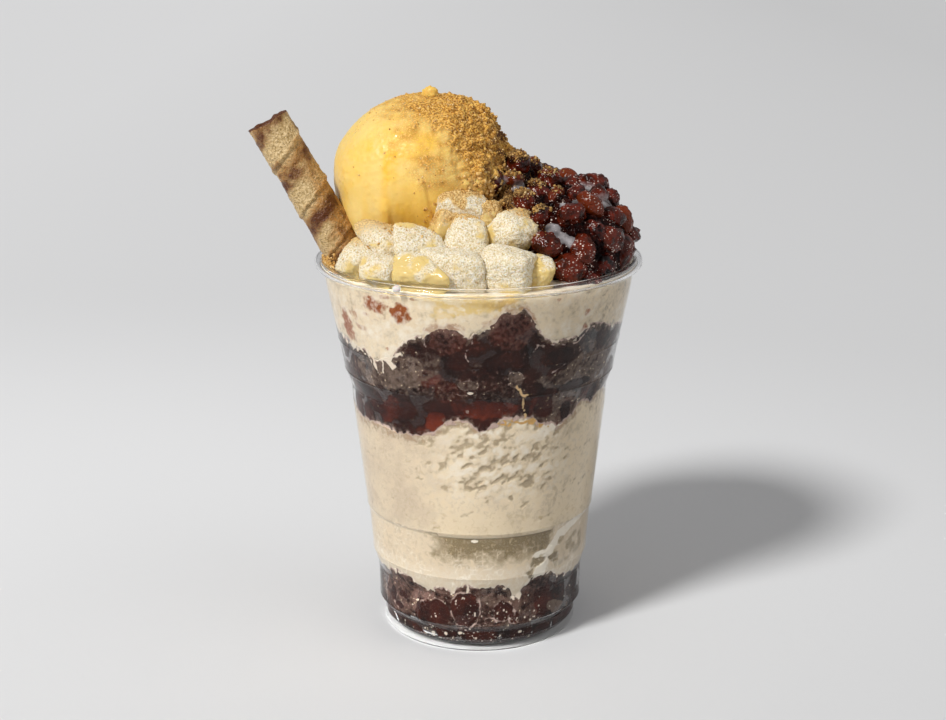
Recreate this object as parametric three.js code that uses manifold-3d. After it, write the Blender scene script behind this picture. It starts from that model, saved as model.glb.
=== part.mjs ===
// A cup bingsu: Korean milk shaved ice served in a clear cold-drink cup.
// Two layers of sweet red beans and three of ice fill the cup. A ball of ice cream, a rolled
// wafer, soft rice cakes and a heap of beans stand on top.
// Millimetres, +Z up. The origin is the middle of the cup's underside, and -Y is the front.

import * as THREE from "three";
import { mergeVertices } from "three/addons/utils/BufferGeometryUtils.js";
import Module from "manifold-3d";

const wasm = await Module();
wasm.setup();

// ---------------------------------------------------------------- driving dimensions

const SIDES = 32; // flats round the cup and everything in it
const GAP = 0.3; // air left between two pieces that lie against each other
const WALL = 0.6; // cup wall
const FLOOR = 0.8; // cup floor

// The cup's outside, as [radius, height], from the foot up to the rolled rim.
const FOOT = [[29.1, 0], [29.7, 0.7], [29.6, 6.3]];
const GRIP_BAND = [[31.4, 8.8], [31.55, 18.6]];
const LOWER_WALL = [[33.2, 24.5], [34.35, 38.2]];
const MIDDLE_WALL = [[34.8, 39.3], [38.45, 71], [38.8, 77.5]];
const UPPER_WALL = [[40.7, 82.5], [42.5, 92], [45.7, 108], [46.4, 112.9]];
const RIM = { radius: 47.5, height: 114.8, bead: 1.5 }; // 98 mm over the rim, 116.3 mm tall

// Where one layer ends and the next begins, from the bottom up. The rises are bumps and
// hollows along the wall: [degrees from the front, turning right; rise; half width in degrees].
const LAYERS = {
  beans_bottom: {
    top: 22,
    rises: [[-48, 2, 9], [-30, -1.5, 9], [19, -3.5, 6], [38, 2.8, 12], [105, 2, 16], [150, -2, 15],
      [-100, 2.5, 14], [-150, -2, 15]],
  },
  ice_bottom: {
    top: 39.7,
    rises: [[-60, 0.6, 20], [40, -0.5, 25], [150, 0.5, 30]],
  },
  ice_middle: {
    top: 73.5,
    rises: [[-52, -3.5, 20], [-19, -2, 6], [-9, 2.3, 8], [14, 2.2, 10], [40, -2.2, 7], [52, 3, 7],
      [68, 3, 8], [120, -3, 15], [165, 2, 15], [-110, 2, 16], [-145, -2, 14]],
  },
  beans_upper: {
    top: 100,
    rises: [[-50, -7, 14], [-42, -2, 8], [-12, 4.5, 10], [14, 9.5, 9], [47, 2, 9], [90, -3, 15],
      [130, 4, 14], [170, -4, 14], [-92, -1, 12], [-130, 5, 15]],
  },
};

// The ice heaped over the rim: a soft lumpy cone under the toppings.
const MOUND = { edge: 114, peak: 130, radius: 45, steepness: 1.2, lump: 0.8, lumpSize: 7 };

// The ball of ice cream, pressed into the left of the mound and leaning a little to the left.
const SCOOP = { centre: [-17, 5, 139.4], half: [26.2, 24, 23.6], lean: -12.5,
  skin: 0.3, ragged: 1.2, lumpSize: 4 };
const SCOOP_NUB = { centre: [-14, 3, 163.6], radius: 2.2 };

// The rolled wafer: a tube wound from a ribbon, leaning out over the rim.
const WAFER = { foot: [-31.7, -5.5, 104.5], tip: [-61.2, -5.5, 156.7], radius: 6.1, bore: 4.2,
  ribbonStep: 0.55, ribbonPitch: 15 };

// The rice cakes: centre, half sizes [x, y, z], turn about Z and tilt about X in degrees.
// Their corners follow |x|^n + |y|^n + |z|^n = 1, and their sides are a little lumpy.
const CAKE_SQUARENESS = 3;
const CAKE_LUMP = 0.04; // share of a half size
const RICE_CAKES = [
  { centre: [-32.7, -25, 119.4], half: [6.6, 5, 4.2], turn: 25, tilt: 25 },
  { centre: [-27, -34.5, 118.7], half: [4.8, 4.6, 4], turn: -15, tilt: 10 },
  { centre: [-24.5, -24, 124.6], half: [5, 4.8, 5.2], turn: 20, tilt: 20 },
  { centre: [-16.6, -28, 124], half: [6.8, 5, 5.2], turn: 10, tilt: 25 },
  { centre: [-17.2, -38, 119.2], half: [6.2, 4.4, 4.6], turn: -20, tilt: 15 },
  { centre: [-4.9, -15, 133], half: [7.4, 5.4, 4.5], turn: 6, tilt: 18 },
  { centre: [-3.1, -27, 125.7], half: [5.2, 4.8, 6.2], turn: -10, tilt: -10 },
  { centre: [-9.6, -19, 126.4], half: [4.2, 4.2, 5], turn: 15, tilt: 0 },
  { centre: [-6.9, -38.2, 119.2], half: [6.4, 5, 5.3], turn: 5, tilt: 5 },
  { centre: [10.6, -24, 126.5], half: [7.8, 5.4, 5.8], turn: 25, tilt: 15 },
  { centre: [7.7, -37.6, 119.4], half: [6.6, 5.2, 5.6], turn: -8, tilt: 10 },
  { centre: [2, -16.6, 127.6], half: [4.4, 4, 5], turn: 30, tilt: 0 },
  { centre: [15.6, -34.6, 117.9], half: [4.4, 4.2, 4.6], turn: 10, tilt: 10 },
];

// The heap of beans, piled over the right of the mound: a long dome turned a little about Z,
// with a crest against the ice cream.
const HEAP = { centre: [19.5, 3, 111], half: [26.5, 37.5, 28], turn: 12 };
const CREST = { centre: [9, 3, 128], half: [11, 15, 16.5], turn: 0 };
const HEAP_SQUARENESS = 2.7;
const BEAN = { length: 9.6, width: 7.6, sink: 1.2, spacing: 6.8 };
const MOST_HIDDEN = 0.35; // a bean with more of itself than this in other food is left out

// ---------------------------------------------------------------- solids and meshes

/** A manifold-3d solid from a closed three.js geometry. */
function solidOf(geometry) {
  const bare = geometry.clone();
  bare.deleteAttribute("normal");
  bare.deleteAttribute("uv");
  const merged = mergeVertices(bare, 1e-4);
  return new wasm.Manifold(new wasm.Mesh({
    numProp: 3,
    vertProperties: new Float32Array(merged.attributes.position.array),
    triVerts: new Uint32Array(merged.index.array),
  }));
}

/** A named three.js mesh from a manifold-3d solid. */
function meshOf(name, solid, look) {
  const made = solid.getMesh();
  const geometry = new THREE.BufferGeometry();
  geometry.setAttribute("position", new THREE.BufferAttribute(made.vertProperties, 3));
  geometry.setIndex(new THREE.BufferAttribute(made.triVerts, 1));
  geometry.computeVertexNormals();
  const mesh = new THREE.Mesh(geometry, new THREE.MeshStandardMaterial(look));
  mesh.name = name;
  return mesh;
}

/** A solid of revolution about Z from [radius, height] points that start and end on the axis. */
function turned(outline) {
  const points = outline.map(([radius, height]) => new THREE.Vector2(radius, height));
  const geometry = new THREE.LatheGeometry(points, SIDES);
  geometry.rotateX(Math.PI / 2);
  return geometry;
}

/** Moves each vertex of a geometry by a function of its place, and returns the geometry. */
function reshape(geometry, move) {
  const place = geometry.attributes.position;
  const point = new THREE.Vector3();
  for (let i = 0; i < place.count; i++) {
    point.fromBufferAttribute(place, i);
    move(point);
    place.setXYZ(i, point.x, point.y, point.z);
  }
  return geometry;
}

/** A repeatable stream of numbers from 0 to 1. */
function seeded(seed) {
  let state = seed;
  return () => {
    state = (state * 1664525 + 1013904223) % 4294967296;
    return state / 4294967296;
  };
}

/** A smooth unevenness between about -1 and 1, with features of the given size. */
function unevenness(x, y, z, size) {
  const a = Math.sin(x / size + 1.7 * Math.sin(y / size));
  const b = Math.sin(y / size * 1.3 + 1.3 * Math.sin(z / size) + 2);
  const c = Math.sin(z / size * 1.1 + 1.5 * Math.sin(x / size) + 4);
  return (a + b + c) / 2;
}

// ---------------------------------------------------------------- the cup

const WALL_OUTLINE = [...FOOT, ...GRIP_BAND, ...LOWER_WALL, ...MIDDLE_WALL, ...UPPER_WALL];

/** The cup's inside from the floor up, drawn in by a margin, as [radius, height]. */
function insideOutline(margin) {
  const above = WALL_OUTLINE.filter(([, height]) => height > FLOOR + margin + 1);
  const floor = FLOOR + margin;
  const corner = [above[0][0] - WALL - margin, floor];
  return [[0, floor], corner, ...above.map(([radius, height]) => [radius - WALL - margin, height])];
}

/** The rolled rim's bead, from where it leaves the outside wall over the top to the inside. */
function beadOutline() {
  const points = [];
  const steps = 7;
  for (let i = 0; i <= steps; i++) {
    const angle = THREE.MathUtils.degToRad(THREE.MathUtils.lerp(-110, 180, i / steps));
    points.push([RIM.radius + RIM.bead * Math.cos(angle), RIM.height + RIM.bead * Math.sin(angle)]);
  }
  return points;
}

/** The cup: one wall all round a floor, under a rolled rim. */
function makeCup() {
  const inside = insideOutline(0).reverse();
  return solidOf(turned([[0, 0], ...WALL_OUTLINE, ...beadOutline(), ...inside]));
}

// ---------------------------------------------------------------- the layers in the cup

const LAYER_RINGS = [26, 52];
const MOUND_RINGS = [11, 22, 34, 45, 52];
const BELOW_ALL = -5;

/** Degrees round the cup from the front, turning right, at a place. */
function degreesRound(x, y) {
  return THREE.MathUtils.radToDeg(Math.atan2(x, -y));
}

/** The height of a layer's top at a place: level in the middle, uneven along the wall. */
function layerTop(layer, x, y) {
  const outward = Math.min(Math.hypot(x, y) / LAYER_RINGS[0], 1);
  const here = degreesRound(x, y);
  let rise = 0;
  for (const [middle, height, halfWidth] of layer.rises) {
    const apart = THREE.MathUtils.euclideanModulo(here - middle + 180, 360) - 180;
    rise += height * Math.exp(-((apart / halfWidth) ** 2));
  }
  return layer.top + rise * outward;
}

/** The height of the ice heaped over the rim at a place. */
function moundTop(x, y) {
  const inward = Math.max(1 - Math.hypot(x, y) / MOUND.radius, 0);
  const lump = MOUND.lump * unevenness(x, y, 0, MOUND.lumpSize) * Math.min(3 * inward, 1);
  return MOUND.edge + (MOUND.peak - MOUND.edge) * inward ** MOUND.steepness + lump;
}

/** Everything under a height function: a wide disc with rings at the given radii. */
function under(height, rings) {
  const outline = [[0, 0], [rings[rings.length - 1], 0], ...rings.map((r) => [r, 1]).reverse(), [0, 1]];
  return solidOf(reshape(turned(outline), (p) => {
    p.z = p.z < 0.5 ? BELOW_ALL : height(p.x, p.y);
  }));
}

/** Everything that fills the cup, in one piece, a gap clear of the wall and floor. */
function cupFilling() {
  const wall = insideOutline(GAP);
  const [topRadius] = wall[wall.length - 1];
  const over = MOUND.peak + 10;
  return solidOf(turned([...wall, [topRadius, over], [0, over]]));
}

/** The layers of the cup from the bottom up, as { name: solid }. */
function makeLayers() {
  const layers = {};
  let rest = cupFilling();
  for (const [name, layer] of Object.entries(LAYERS)) {
    layers[name] = rest.intersect(under((x, y) => layerTop(layer, x, y) - GAP / 2, LAYER_RINGS));
    rest = rest.subtract(under((x, y) => layerTop(layer, x, y) + GAP / 2, LAYER_RINGS));
  }
  layers.ice_upper = rest.intersect(under(moundTop, MOUND_RINGS));
  return layers;
}

// ---------------------------------------------------------------- the toppings

/** Everything under the mound's top, lifted by a gap, to trim what stands on the ice. */
function underMound() {
  return under((x, y) => moundTop(x, y) + GAP, MOUND_RINGS);
}

/** The space round the cup's rim that no topping enters. */
function rimClearance() {
  const inner = RIM.radius - RIM.bead - GAP;
  const top = RIM.height + RIM.bead + GAP;
  const ring = [[inner, 90], [60, 90], [60, top], [inner, top], [inner, 90]];
  return solidOf(turned(ring));
}

/** The ball of ice cream: an egg-shaped ball, ragged on its right side, with a nub on top. */
function makeScoop(extra) {
  const ball = new THREE.SphereGeometry(1, 24, 14);
  ball.rotateX(Math.PI / 2);
  reshape(ball, (p) => {
    const [x, y, z] = SCOOP.half;
    const height = SCOOP.skin + SCOOP.ragged * THREE.MathUtils.smoothstep(p.x, 0.2, 0.9);
    const bump = extra + height * unevenness(p.x * x, p.y * y, p.z * z, SCOOP.lumpSize);
    p.set(p.x * (x + bump), p.y * (y + bump), p.z * (z + bump));
  });
  ball.rotateY(THREE.MathUtils.degToRad(SCOOP.lean));
  ball.translate(...SCOOP.centre);
  const nub = new THREE.SphereGeometry(SCOOP_NUB.radius + extra, 8, 6);
  nub.translate(...SCOOP_NUB.centre);
  return solidOf(ball).add(solidOf(nub));
}

/** The wafer's length, and the turn that carries +Z onto its axis. */
function waferPlace() {
  const foot = new THREE.Vector3(...WAFER.foot);
  const along = new THREE.Vector3(...WAFER.tip).sub(foot);
  const turn = new THREE.Quaternion().setFromUnitVectors(
    new THREE.Vector3(0, 0, 1), along.clone().normalize());
  return { length: along.length(), turn, foot };
}

/** Sets a geometry modelled along +Z from the origin onto the wafer's axis. */
function alongWafer(geometry) {
  const { turn, foot } = waferPlace();
  geometry.applyQuaternion(turn);
  geometry.translate(foot.x, foot.y, foot.z);
  return geometry;
}

/** The wafer: a tube whose outside steps down along the edge of its wound ribbon. */
function makeWafer() {
  const { length } = waferPlace();
  const steps = 13;
  const outline = [];
  for (let i = 0; i <= steps; i++) outline.push(new THREE.Vector2(WAFER.radius, length * i / steps));
  outline.push(new THREE.Vector2(WAFER.bore, length));
  outline.push(new THREE.Vector2(WAFER.bore, 0));
  outline.push(outline[0].clone());
  const tube = new THREE.LatheGeometry(outline, 18);
  tube.rotateX(Math.PI / 2);
  reshape(tube, (p) => {
    const radius = Math.hypot(p.x, p.y);
    if (radius < WAFER.bore + 0.1) return;
    const turns = Math.atan2(p.y, p.x) / (2 * Math.PI) - p.z / WAFER.ribbonPitch;
    const step = WAFER.ribbonStep * (THREE.MathUtils.euclideanModulo(turns, 1) - 0.5);
    p.x *= (radius + step) / radius;
    p.y *= (radius + step) / radius;
  });
  return solidOf(alongWafer(tube));
}

/** The room the wafer takes, bore and all, with a gap round it. */
function waferRoom() {
  const { length } = waferPlace();
  const radius = WAFER.radius + WAFER.ribbonStep / 2 + GAP;
  const rod = new THREE.CylinderGeometry(radius, radius, length + 2 * GAP, 18);
  rod.rotateX(Math.PI / 2);
  rod.translate(0, 0, length / 2);
  return solidOf(alongWafer(rod));
}

/** One rice cake: a soft-cornered block, larger all round by extra. */
function riceCake({ centre, half, turn, tilt }, extra) {
  const block = new THREE.SphereGeometry(1, 10, 7);
  block.rotateX(Math.PI / 2);
  reshape(block, (p) => {
    const n = CAKE_SQUARENESS;
    const spread = Math.abs(p.x) ** n + Math.abs(p.y) ** n + Math.abs(p.z) ** n;
    const lump = 1 + CAKE_LUMP * unevenness(2 * p.x + centre[0], 2 * p.y + centre[1], 2 * p.z, 1);
    p.multiplyScalar(lump * spread ** (-1 / n));
    p.set(p.x * (half[0] + extra), p.y * (half[1] + extra), p.z * (half[2] + extra));
  });
  block.rotateX(THREE.MathUtils.degToRad(tilt));
  block.rotateZ(THREE.MathUtils.degToRad(turn));
  block.translate(...centre);
  return solidOf(block);
}

/** One bean: a plump lozenge that lies along its own +X. */
function bean(length, width, turn, middle) {
  const shape = new THREE.SphereGeometry(1, 6, 3);
  shape.rotateX(Math.PI / 2);
  shape.scale(length / 2, width / 2, width / 2);
  shape.applyQuaternion(turn);
  shape.translate(middle.x, middle.y, middle.z);
  return solidOf(shape);
}

/** The place on a dome of the heap in a direction from its centre. */
function onDome(dome, direction) {
  const spread = Math.hypot(direction.x, direction.y) ** HEAP_SQUARENESS
    + Math.abs(direction.z) ** HEAP_SQUARENESS;
  const reach = spread ** (-1 / HEAP_SQUARENESS);
  const [x, y, z] = dome.half;
  return new THREE.Vector3(x * direction.x, y * direction.y, z * direction.z)
    .multiplyScalar(reach)
    .applyAxisAngle(new THREE.Vector3(0, 0, 1), THREE.MathUtils.degToRad(dome.turn))
    .add(new THREE.Vector3(...dome.centre));
}

/** A dome of the heap as a solid. */
function domeSolid(dome) {
  const ball = new THREE.SphereGeometry(1, 18, 10);
  ball.rotateX(Math.PI / 2);
  return solidOf(reshape(ball, (p) => {
    p.copy(onDome(dome, p));
  }));
}

/** Whether a place is inside a dome. */
function insideDome(dome, place) {
  const local = place.clone().sub(new THREE.Vector3(...dome.centre))
    .applyAxisAngle(new THREE.Vector3(0, 0, 1), -THREE.MathUtils.degToRad(dome.turn));
  const [x, y, z] = dome.half;
  const across = Math.hypot(local.x / x, local.y / y);
  return across ** HEAP_SQUARENESS + Math.abs(local.z / z) ** HEAP_SQUARENESS < 0.98;
}

/** Places for the beans, no closer than their spacing, each with its outward direction. */
function beanPlaces() {
  const places = [];
  for (const [dome, other] of [[CREST, HEAP], [HEAP, CREST]]) {
    const candidates = 700;
    for (let i = 0; i < candidates; i++) {
      const rise = THREE.MathUtils.lerp(1, -0.05, (i + 0.5) / candidates);
      const turn = i * Math.PI * (3 - Math.sqrt(5));
      const flat = Math.sqrt(1 - rise * rise);
      const direction = new THREE.Vector3(flat * Math.cos(turn), flat * Math.sin(turn), rise);
      const place = onDome(dome, direction);
      const crowded = places.some((near) => near.place.distanceTo(place) < BEAN.spacing);
      if (!crowded && !insideDome(other, place)) places.push({ place, direction });
    }
  }
  return places;
}

/** Whether a bean at a place would lie mostly in one of the solids. */
function buried(place, solids) {
  const probe = bean(BEAN.width, BEAN.width, new THREE.Quaternion(), place);
  const whole = probe.volume();
  return solids.some((solid) => probe.intersect(solid).volume() > MOST_HIDDEN * whole);
}

/** The heap: its domes with a coat of beans, clear of the ice, the rim and the other toppings. */
function makeHeap(clearOf) {
  const random = seeded(7);
  const up = new THREE.Vector3(0, 0, 1);
  let heap = domeSolid(HEAP).add(domeSolid(CREST));
  for (const { place, direction } of beanPlaces()) {
    const outward = new THREE.Quaternion().setFromUnitVectors(up, direction);
    const spin = new THREE.Quaternion().setFromAxisAngle(up, random() * Math.PI);
    const size = 0.85 + 0.3 * random();
    if (buried(place, clearOf)) continue;
    const middle = place.clone().addScaledVector(direction, -BEAN.sink);
    heap = heap.add(bean(BEAN.length * size, BEAN.width * size, outward.multiply(spin), middle));
  }
  for (const other of clearOf) heap = heap.subtract(other);
  return largestBody(heap);
}

/** The largest of a solid's separate bodies. */
function largestBody(solid) {
  return solid.decompose().reduce((best, body) => (body.volume() > best.volume() ? body : best));
}

// ---------------------------------------------------------------- the whole

const LOOKS = {
  cup: { color: 0xeef1f0, roughness: 0.08, metalness: 0, transparent: true, opacity: 0.3 },
  beans: { color: 0x4a1f1c, roughness: 0.3, metalness: 0 },
  ice: { color: 0xe8dcc4, roughness: 0.5, metalness: 0 },
  scoop: { color: 0xf2cb62, roughness: 0.55, metalness: 0 },
  wafer: { color: 0xc09a68, roughness: 0.8, metalness: 0 },
  riceCake: { color: 0xece4d0, roughness: 0.85, metalness: 0 },
};

const bingsu = new THREE.Group();
bingsu.add(meshOf("cup", makeCup(), LOOKS.cup));

const ground = underMound();
const room = waferRoom();
const layers = makeLayers();
layers.ice_upper = largestBody(layers.ice_upper.subtract(room));
for (const [name, solid] of Object.entries(layers)) {
  bingsu.add(meshOf(name, solid, name.startsWith("ice") ? LOOKS.ice : LOOKS.beans));
}

bingsu.add(meshOf("wafer", makeWafer(), LOOKS.wafer));
bingsu.add(meshOf("scoop", largestBody(makeScoop(0).subtract(ground).subtract(room)), LOOKS.scoop));

const rim = rimClearance();
const taken = [ground, rim, makeScoop(GAP), room];
RICE_CAKES.forEach((place, index) => {
  let cake = riceCake(place, 0);
  for (const other of taken) cake = cake.subtract(other);
  taken.push(riceCake(place, GAP));
  bingsu.add(meshOf(`rice_cake_${index + 1}`, largestBody(cake), LOOKS.riceCake));
});
bingsu.add(meshOf("bean_heap", makeHeap(taken), LOOKS.beans));

export default bingsu;
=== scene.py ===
import bpy
import numpy as np
from mathutils import Matrix


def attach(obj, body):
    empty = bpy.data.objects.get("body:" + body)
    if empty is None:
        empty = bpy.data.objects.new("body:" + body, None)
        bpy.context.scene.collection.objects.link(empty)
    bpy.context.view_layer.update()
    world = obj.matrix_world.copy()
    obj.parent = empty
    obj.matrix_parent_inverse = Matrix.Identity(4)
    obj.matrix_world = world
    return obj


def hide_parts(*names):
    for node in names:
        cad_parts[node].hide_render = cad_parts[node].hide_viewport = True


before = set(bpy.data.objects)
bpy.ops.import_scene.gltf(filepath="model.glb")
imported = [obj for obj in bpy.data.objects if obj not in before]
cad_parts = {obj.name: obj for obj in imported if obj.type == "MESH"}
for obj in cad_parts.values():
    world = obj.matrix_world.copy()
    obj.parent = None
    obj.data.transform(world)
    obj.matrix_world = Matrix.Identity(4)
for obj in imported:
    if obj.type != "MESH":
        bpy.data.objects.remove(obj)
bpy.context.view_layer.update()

# ---------------------------------------------------------------- the clear cup
# A cold-drink cup, drawn down from 0.6 mm clear PET sheet over a mould and rolled at the rim.
# The mould leaves a grip band and two shoulders, each with a fine raised edge, and folds the
# sheet into a hollow foot, inside which the cup's own bottom corner is well rounded.

WALL = 0.6
FLOOR = 1.4
CORNER_IN, CORNER_UP = 4.0, 5.6
RIM_RADIUS, RIM_HEIGHT, RIM_BEAD, RIM_BORE = 47.5, 114.8, 1.5, 0.95
# [radius, height] of the mould's corners, from the foot up
MOULD = np.array([
    [29.1, 0], [29.7, 0.7], [29.6, 6.3], [31.4, 8.8], [31.55, 18.6], [33.2, 24.5], [34.35, 38.2],
    [34.8, 39.3], [38.45, 71], [38.8, 77.5], [40.7, 82.5], [42.5, 92], [45.7, 108], [46.4, 112.9]])
# heights of the fine raised edges, and how high and half how wide each one is
UPPER_EDGE = 82.7
EDGES = [8.8, 18.6, 24.5, 39.3, 77.5, UPPER_EDGE, 92]
EDGE_RISE, EDGE_HALF_WIDTH = 0.12, 0.22
# under the floor the corner is a quarter ellipse: its middle and half sizes, [radius, height]
UNDER_MIDDLE, UNDER_HALF = np.array([25.1, 5.9]), np.array([3.6, 5.1])


def linear(code):
    """A colour for a shader socket from its sRGB hex code: each channel c becomes
    ((c + 0.055) / 1.055) to the power 2.4, or c / 12.92 where it is very dark."""
    c = np.array([int(code[i:i + 2], 16) for i in (1, 3, 5)]) / 255
    c = np.where(c > 0.04045, ((c + 0.055) / 1.055) ** 2.4, c / 12.92)
    return (*c.tolist(), 1.0)


def add(tree, kind, inputs, **settings):
    """Adds one shader node with its settings. Each input is a value, or the socket that feeds it."""
    made = tree.nodes.new("ShaderNode" + kind)
    for key, value in settings.items():
        setattr(made, key, value)
    for key, value in inputs.items():
        if isinstance(value, bpy.types.NodeSocket):
            tree.links.new(value, made.inputs[key])
        else:
            made.inputs[key].default_value = value
    return made


def finish(name, **settings):
    """A new material, its node tree and its Principled shader, with the shader's values set."""
    made = bpy.data.materials.new(name)
    made.use_nodes = True
    shader = made.node_tree.nodes["Principled BSDF"]
    for key, value in settings.items():
        shader.inputs[key.replace("_", " ")].default_value = value
    return made, made.node_tree, shader


def cup_radius(height):
    """Outside radius at a height: straight between the mould's corners, which are rounded by
    taking the mean over 0.5 mm of height, with a bell-shaped ridge along each raised edge."""
    smooth = np.mean([np.interp(height + s, MOULD[:, 1], MOULD[:, 0])
                      for s in np.linspace(-0.25, 0.25, 7)], axis=0)
    ridges = sum(np.exp(-((height - edge) / EDGE_HALF_WIDTH) ** 2) for edge in EDGES)
    return smooth + EDGE_RISE * ridges


def inside_radius(height):
    """Inside radius at a height: the outside less the wall, drawn in along a quarter ellipse
    as it nears the floor."""
    drop = np.clip((FLOOR + CORNER_UP - height) / CORNER_UP, 0, 1)
    return cup_radius(height) - WALL - CORNER_IN * (1 - np.sqrt(1 - drop ** 2))


def turned(outline, turn):
    """Places of a shape of revolution: each [radius, height] row carried round the axis through
    the turns, in degrees from the front towards +X."""
    radius, height = np.asarray(outline, float).T
    angle = np.radians(turn)
    return np.stack([radius[:, None] * np.sin(angle), -radius[:, None] * np.cos(angle),
                     np.repeat(height[:, None], len(turn), 1)], -1)


def skin(places, tips=(False, False), looped=False):
    """Vertices and faces of a grid of places, rows by columns, whose columns join all round.
    A row marked as a tip is one point, closed by a fan, and looped joins the last row to the
    first. Faces point to the right of the rows' way, seen from outside with rows going up."""
    rows, columns = places.shape[:2]
    index = np.arange(rows * columns).reshape(rows, columns)
    for end, tip in zip((0, -1), tips):
        if tip:
            index[end] = index[end, 0]
    keep = np.zeros(rows * columns, bool)
    keep[index.ravel()] = True
    index = (np.cumsum(keep) - 1)[index]
    if looped:
        index = np.concatenate([index, index[:1]])
    after = np.roll(index, -1, axis=1)
    first, last = int(tips[0]), len(index) - 1 - int(tips[1])
    faces = [np.stack([index[first:last], after[first:last], after[first + 1:last + 1],
                       index[first + 1:last + 1]], -1).reshape(-1, 4)]
    if tips[0]:
        faces.append(np.stack([index[0], after[1], index[1]], -1))
    if tips[1]:
        faces.append(np.stack([index[-2], after[-2], index[-1]], -1))
    return places.reshape(-1, 3)[keep], faces, keep


def piece(name, places, faces, material, replaces=(), fields={}):
    """One piece of the food or its cup, from vertices in millimetres and arrays of face corners.
    Fields are numbers for each vertex that its material reads. It rides on the root body."""
    mesh = bpy.data.meshes.new(name)
    corners = np.concatenate([f.ravel() for f in faces])
    counts = np.concatenate([np.full(len(f), f.shape[1]) for f in faces])
    mesh.vertices.add(len(places))
    mesh.vertices.foreach_set("co", (places * 0.001).astype(np.float32).ravel())
    mesh.loops.add(len(corners))
    mesh.loops.foreach_set("vertex_index", corners.astype(np.int32))
    mesh.polygons.add(len(counts))
    mesh.polygons.foreach_set("loop_start", (np.cumsum(counts) - counts).astype(np.int32))
    for key, values in fields.items():
        field = mesh.attributes.new(key, "FLOAT", "POINT")
        field.data.foreach_set("value", np.asarray(values, np.float32).ravel())
    mesh.update(calc_edges=True)
    mesh.shade_smooth()
    mesh.materials.append(material)
    made = bpy.data.objects.new(name, mesh)
    bpy.context.scene.collection.objects.link(made)
    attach(made, "root")
    if replaces:
        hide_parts(*replaces)


def joined(parts):
    """Vertices and faces of several meshes as one: each one's corner numbers are moved on by the
    vertices before it."""
    places, faces, start = [], [], 0
    for more, more_faces in parts:
        places.append(more)
        faces += [f + start for f in more_faces]
        start += len(more)
    return np.concatenate(places), faces


# the wall's rows lie 1.5 mm apart, and closer within 1 mm of each corner and raised edge
wall_from, wall_to = MOULD[1, 1], MOULD[-1, 1]
near_edges = np.concatenate([h + np.linspace(-1.0, 1.0, 13) for h in [*MOULD[2:-2, 1], UPPER_EDGE]])
wall_heights = np.concatenate([np.arange(wall_from, wall_to, 1.5), near_edges])
wall_heights = np.unique(wall_heights[(wall_heights > wall_from - 0.01)
                                      & (wall_heights < wall_to)].round(3))
outer = np.stack([cup_radius(wall_heights), wall_heights], -1)
bead_angle = np.radians(np.linspace(-110, 180, 22))
bead = np.stack([RIM_RADIUS + RIM_BEAD * np.cos(bead_angle),
                 RIM_HEIGHT + RIM_BEAD * np.sin(bead_angle)], -1)
inner_heights = np.concatenate([wall_heights[wall_heights > FLOOR + CORNER_UP][::-1],
                                FLOOR + CORNER_UP * (1 - np.sin(np.linspace(0, np.pi / 2, 11)))])
inner = np.stack([inside_radius(inner_heights), inner_heights], -1)
floor_inside = np.array([[20, FLOOR], [10, FLOOR], [0, FLOOR]])
# underneath: the floor, its rounded corner, and the folded foot down to the ring it stands on
under_angle = np.linspace(1.0, 0.42, 8) * np.pi / 2
under_corner = UNDER_MIDDLE + UNDER_HALF * np.stack([np.cos(under_angle), -np.sin(under_angle)], -1)
underside = np.concatenate([[[0, 0.8], [12, 0.8], [21, 0.8]], under_corner,
                            [[28.75, 3.7], [29.0, 3.2], [29.0, 0.9], [28.9, 0.3], [29.2, 0.05]]])
cup_turn = np.linspace(-180, 180, 240, endpoint=False)
shell = skin(turned(np.concatenate([underside, outer, bead, inner, floor_inside]), cup_turn),
             tips=(True, True))
# the rolled rim is hollow, so a narrow bore runs round inside its bead
bore_angle = np.radians(np.linspace(180, -180, 16, endpoint=False))
bore = turned(np.stack([RIM_RADIUS + RIM_BORE * np.cos(bore_angle),
                        RIM_HEIGHT + RIM_BORE * np.sin(bore_angle)], -1), cup_turn)
cup_places, cup_faces = joined([shell[:2], skin(bore, looped=True)[:2]])

# Clear PET as drawn: glassy, faintly wavy from the mould, and it lets lamplight straight
# through to the food that touches it. Real PET's index is 1.57; the lower one keeps an even
# surround from laying a grey veil over the dark beans.
pet, tree, shader = finish("clear_drawn_pet", Base_Color=linear("#FFFFFF"), Roughness=0.03,
                           IOR=1.3, Transmission_Weight=1.0)
coords = add(tree, "TexCoord", {})
waves = add(tree, "TexNoise", {"Vector": coords.outputs["Object"], "Scale": 90.0, "Detail": 1.0})
ripple = add(tree, "Bump", {"Height": waves.outputs[0], "Strength": 0.12, "Distance": 0.0006})
tree.links.new(ripple.outputs[0], shader.inputs["Normal"])
path = add(tree, "LightPath", {})
lit_through = add(tree, "BsdfTransparent", {"Color": linear("#EDEDEB")})
either = add(tree, "MixShader", {0: path.outputs["Is Shadow Ray"], 1: shader.outputs[0],
                                 2: lit_through.outputs[0]})
tree.links.new(either.outputs[0], tree.nodes["Material Output"].inputs["Surface"])
piece("clear_cup", cup_places, cup_faces, pet, ["cup"])

# ---------------------------------------------------------------- the lower beans
# Sweet red beans boiled soft in syrup, spooned in first and crushed against the cup. Where they
# touch the plastic they look wet and dark; milk creeps round them and leaves pale edges.

# how far a filling's side goes into the wall, and how far it is tucked behind the one below
REACH, TUCK = 0.15, 1.2
# the columns of every filling, in degrees from the front towards +X
TURN = np.linspace(-180, 180, 720, endpoint=False)
# about the cup's inside radius half way up these beans
LOWER_RADIUS = 31
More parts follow.
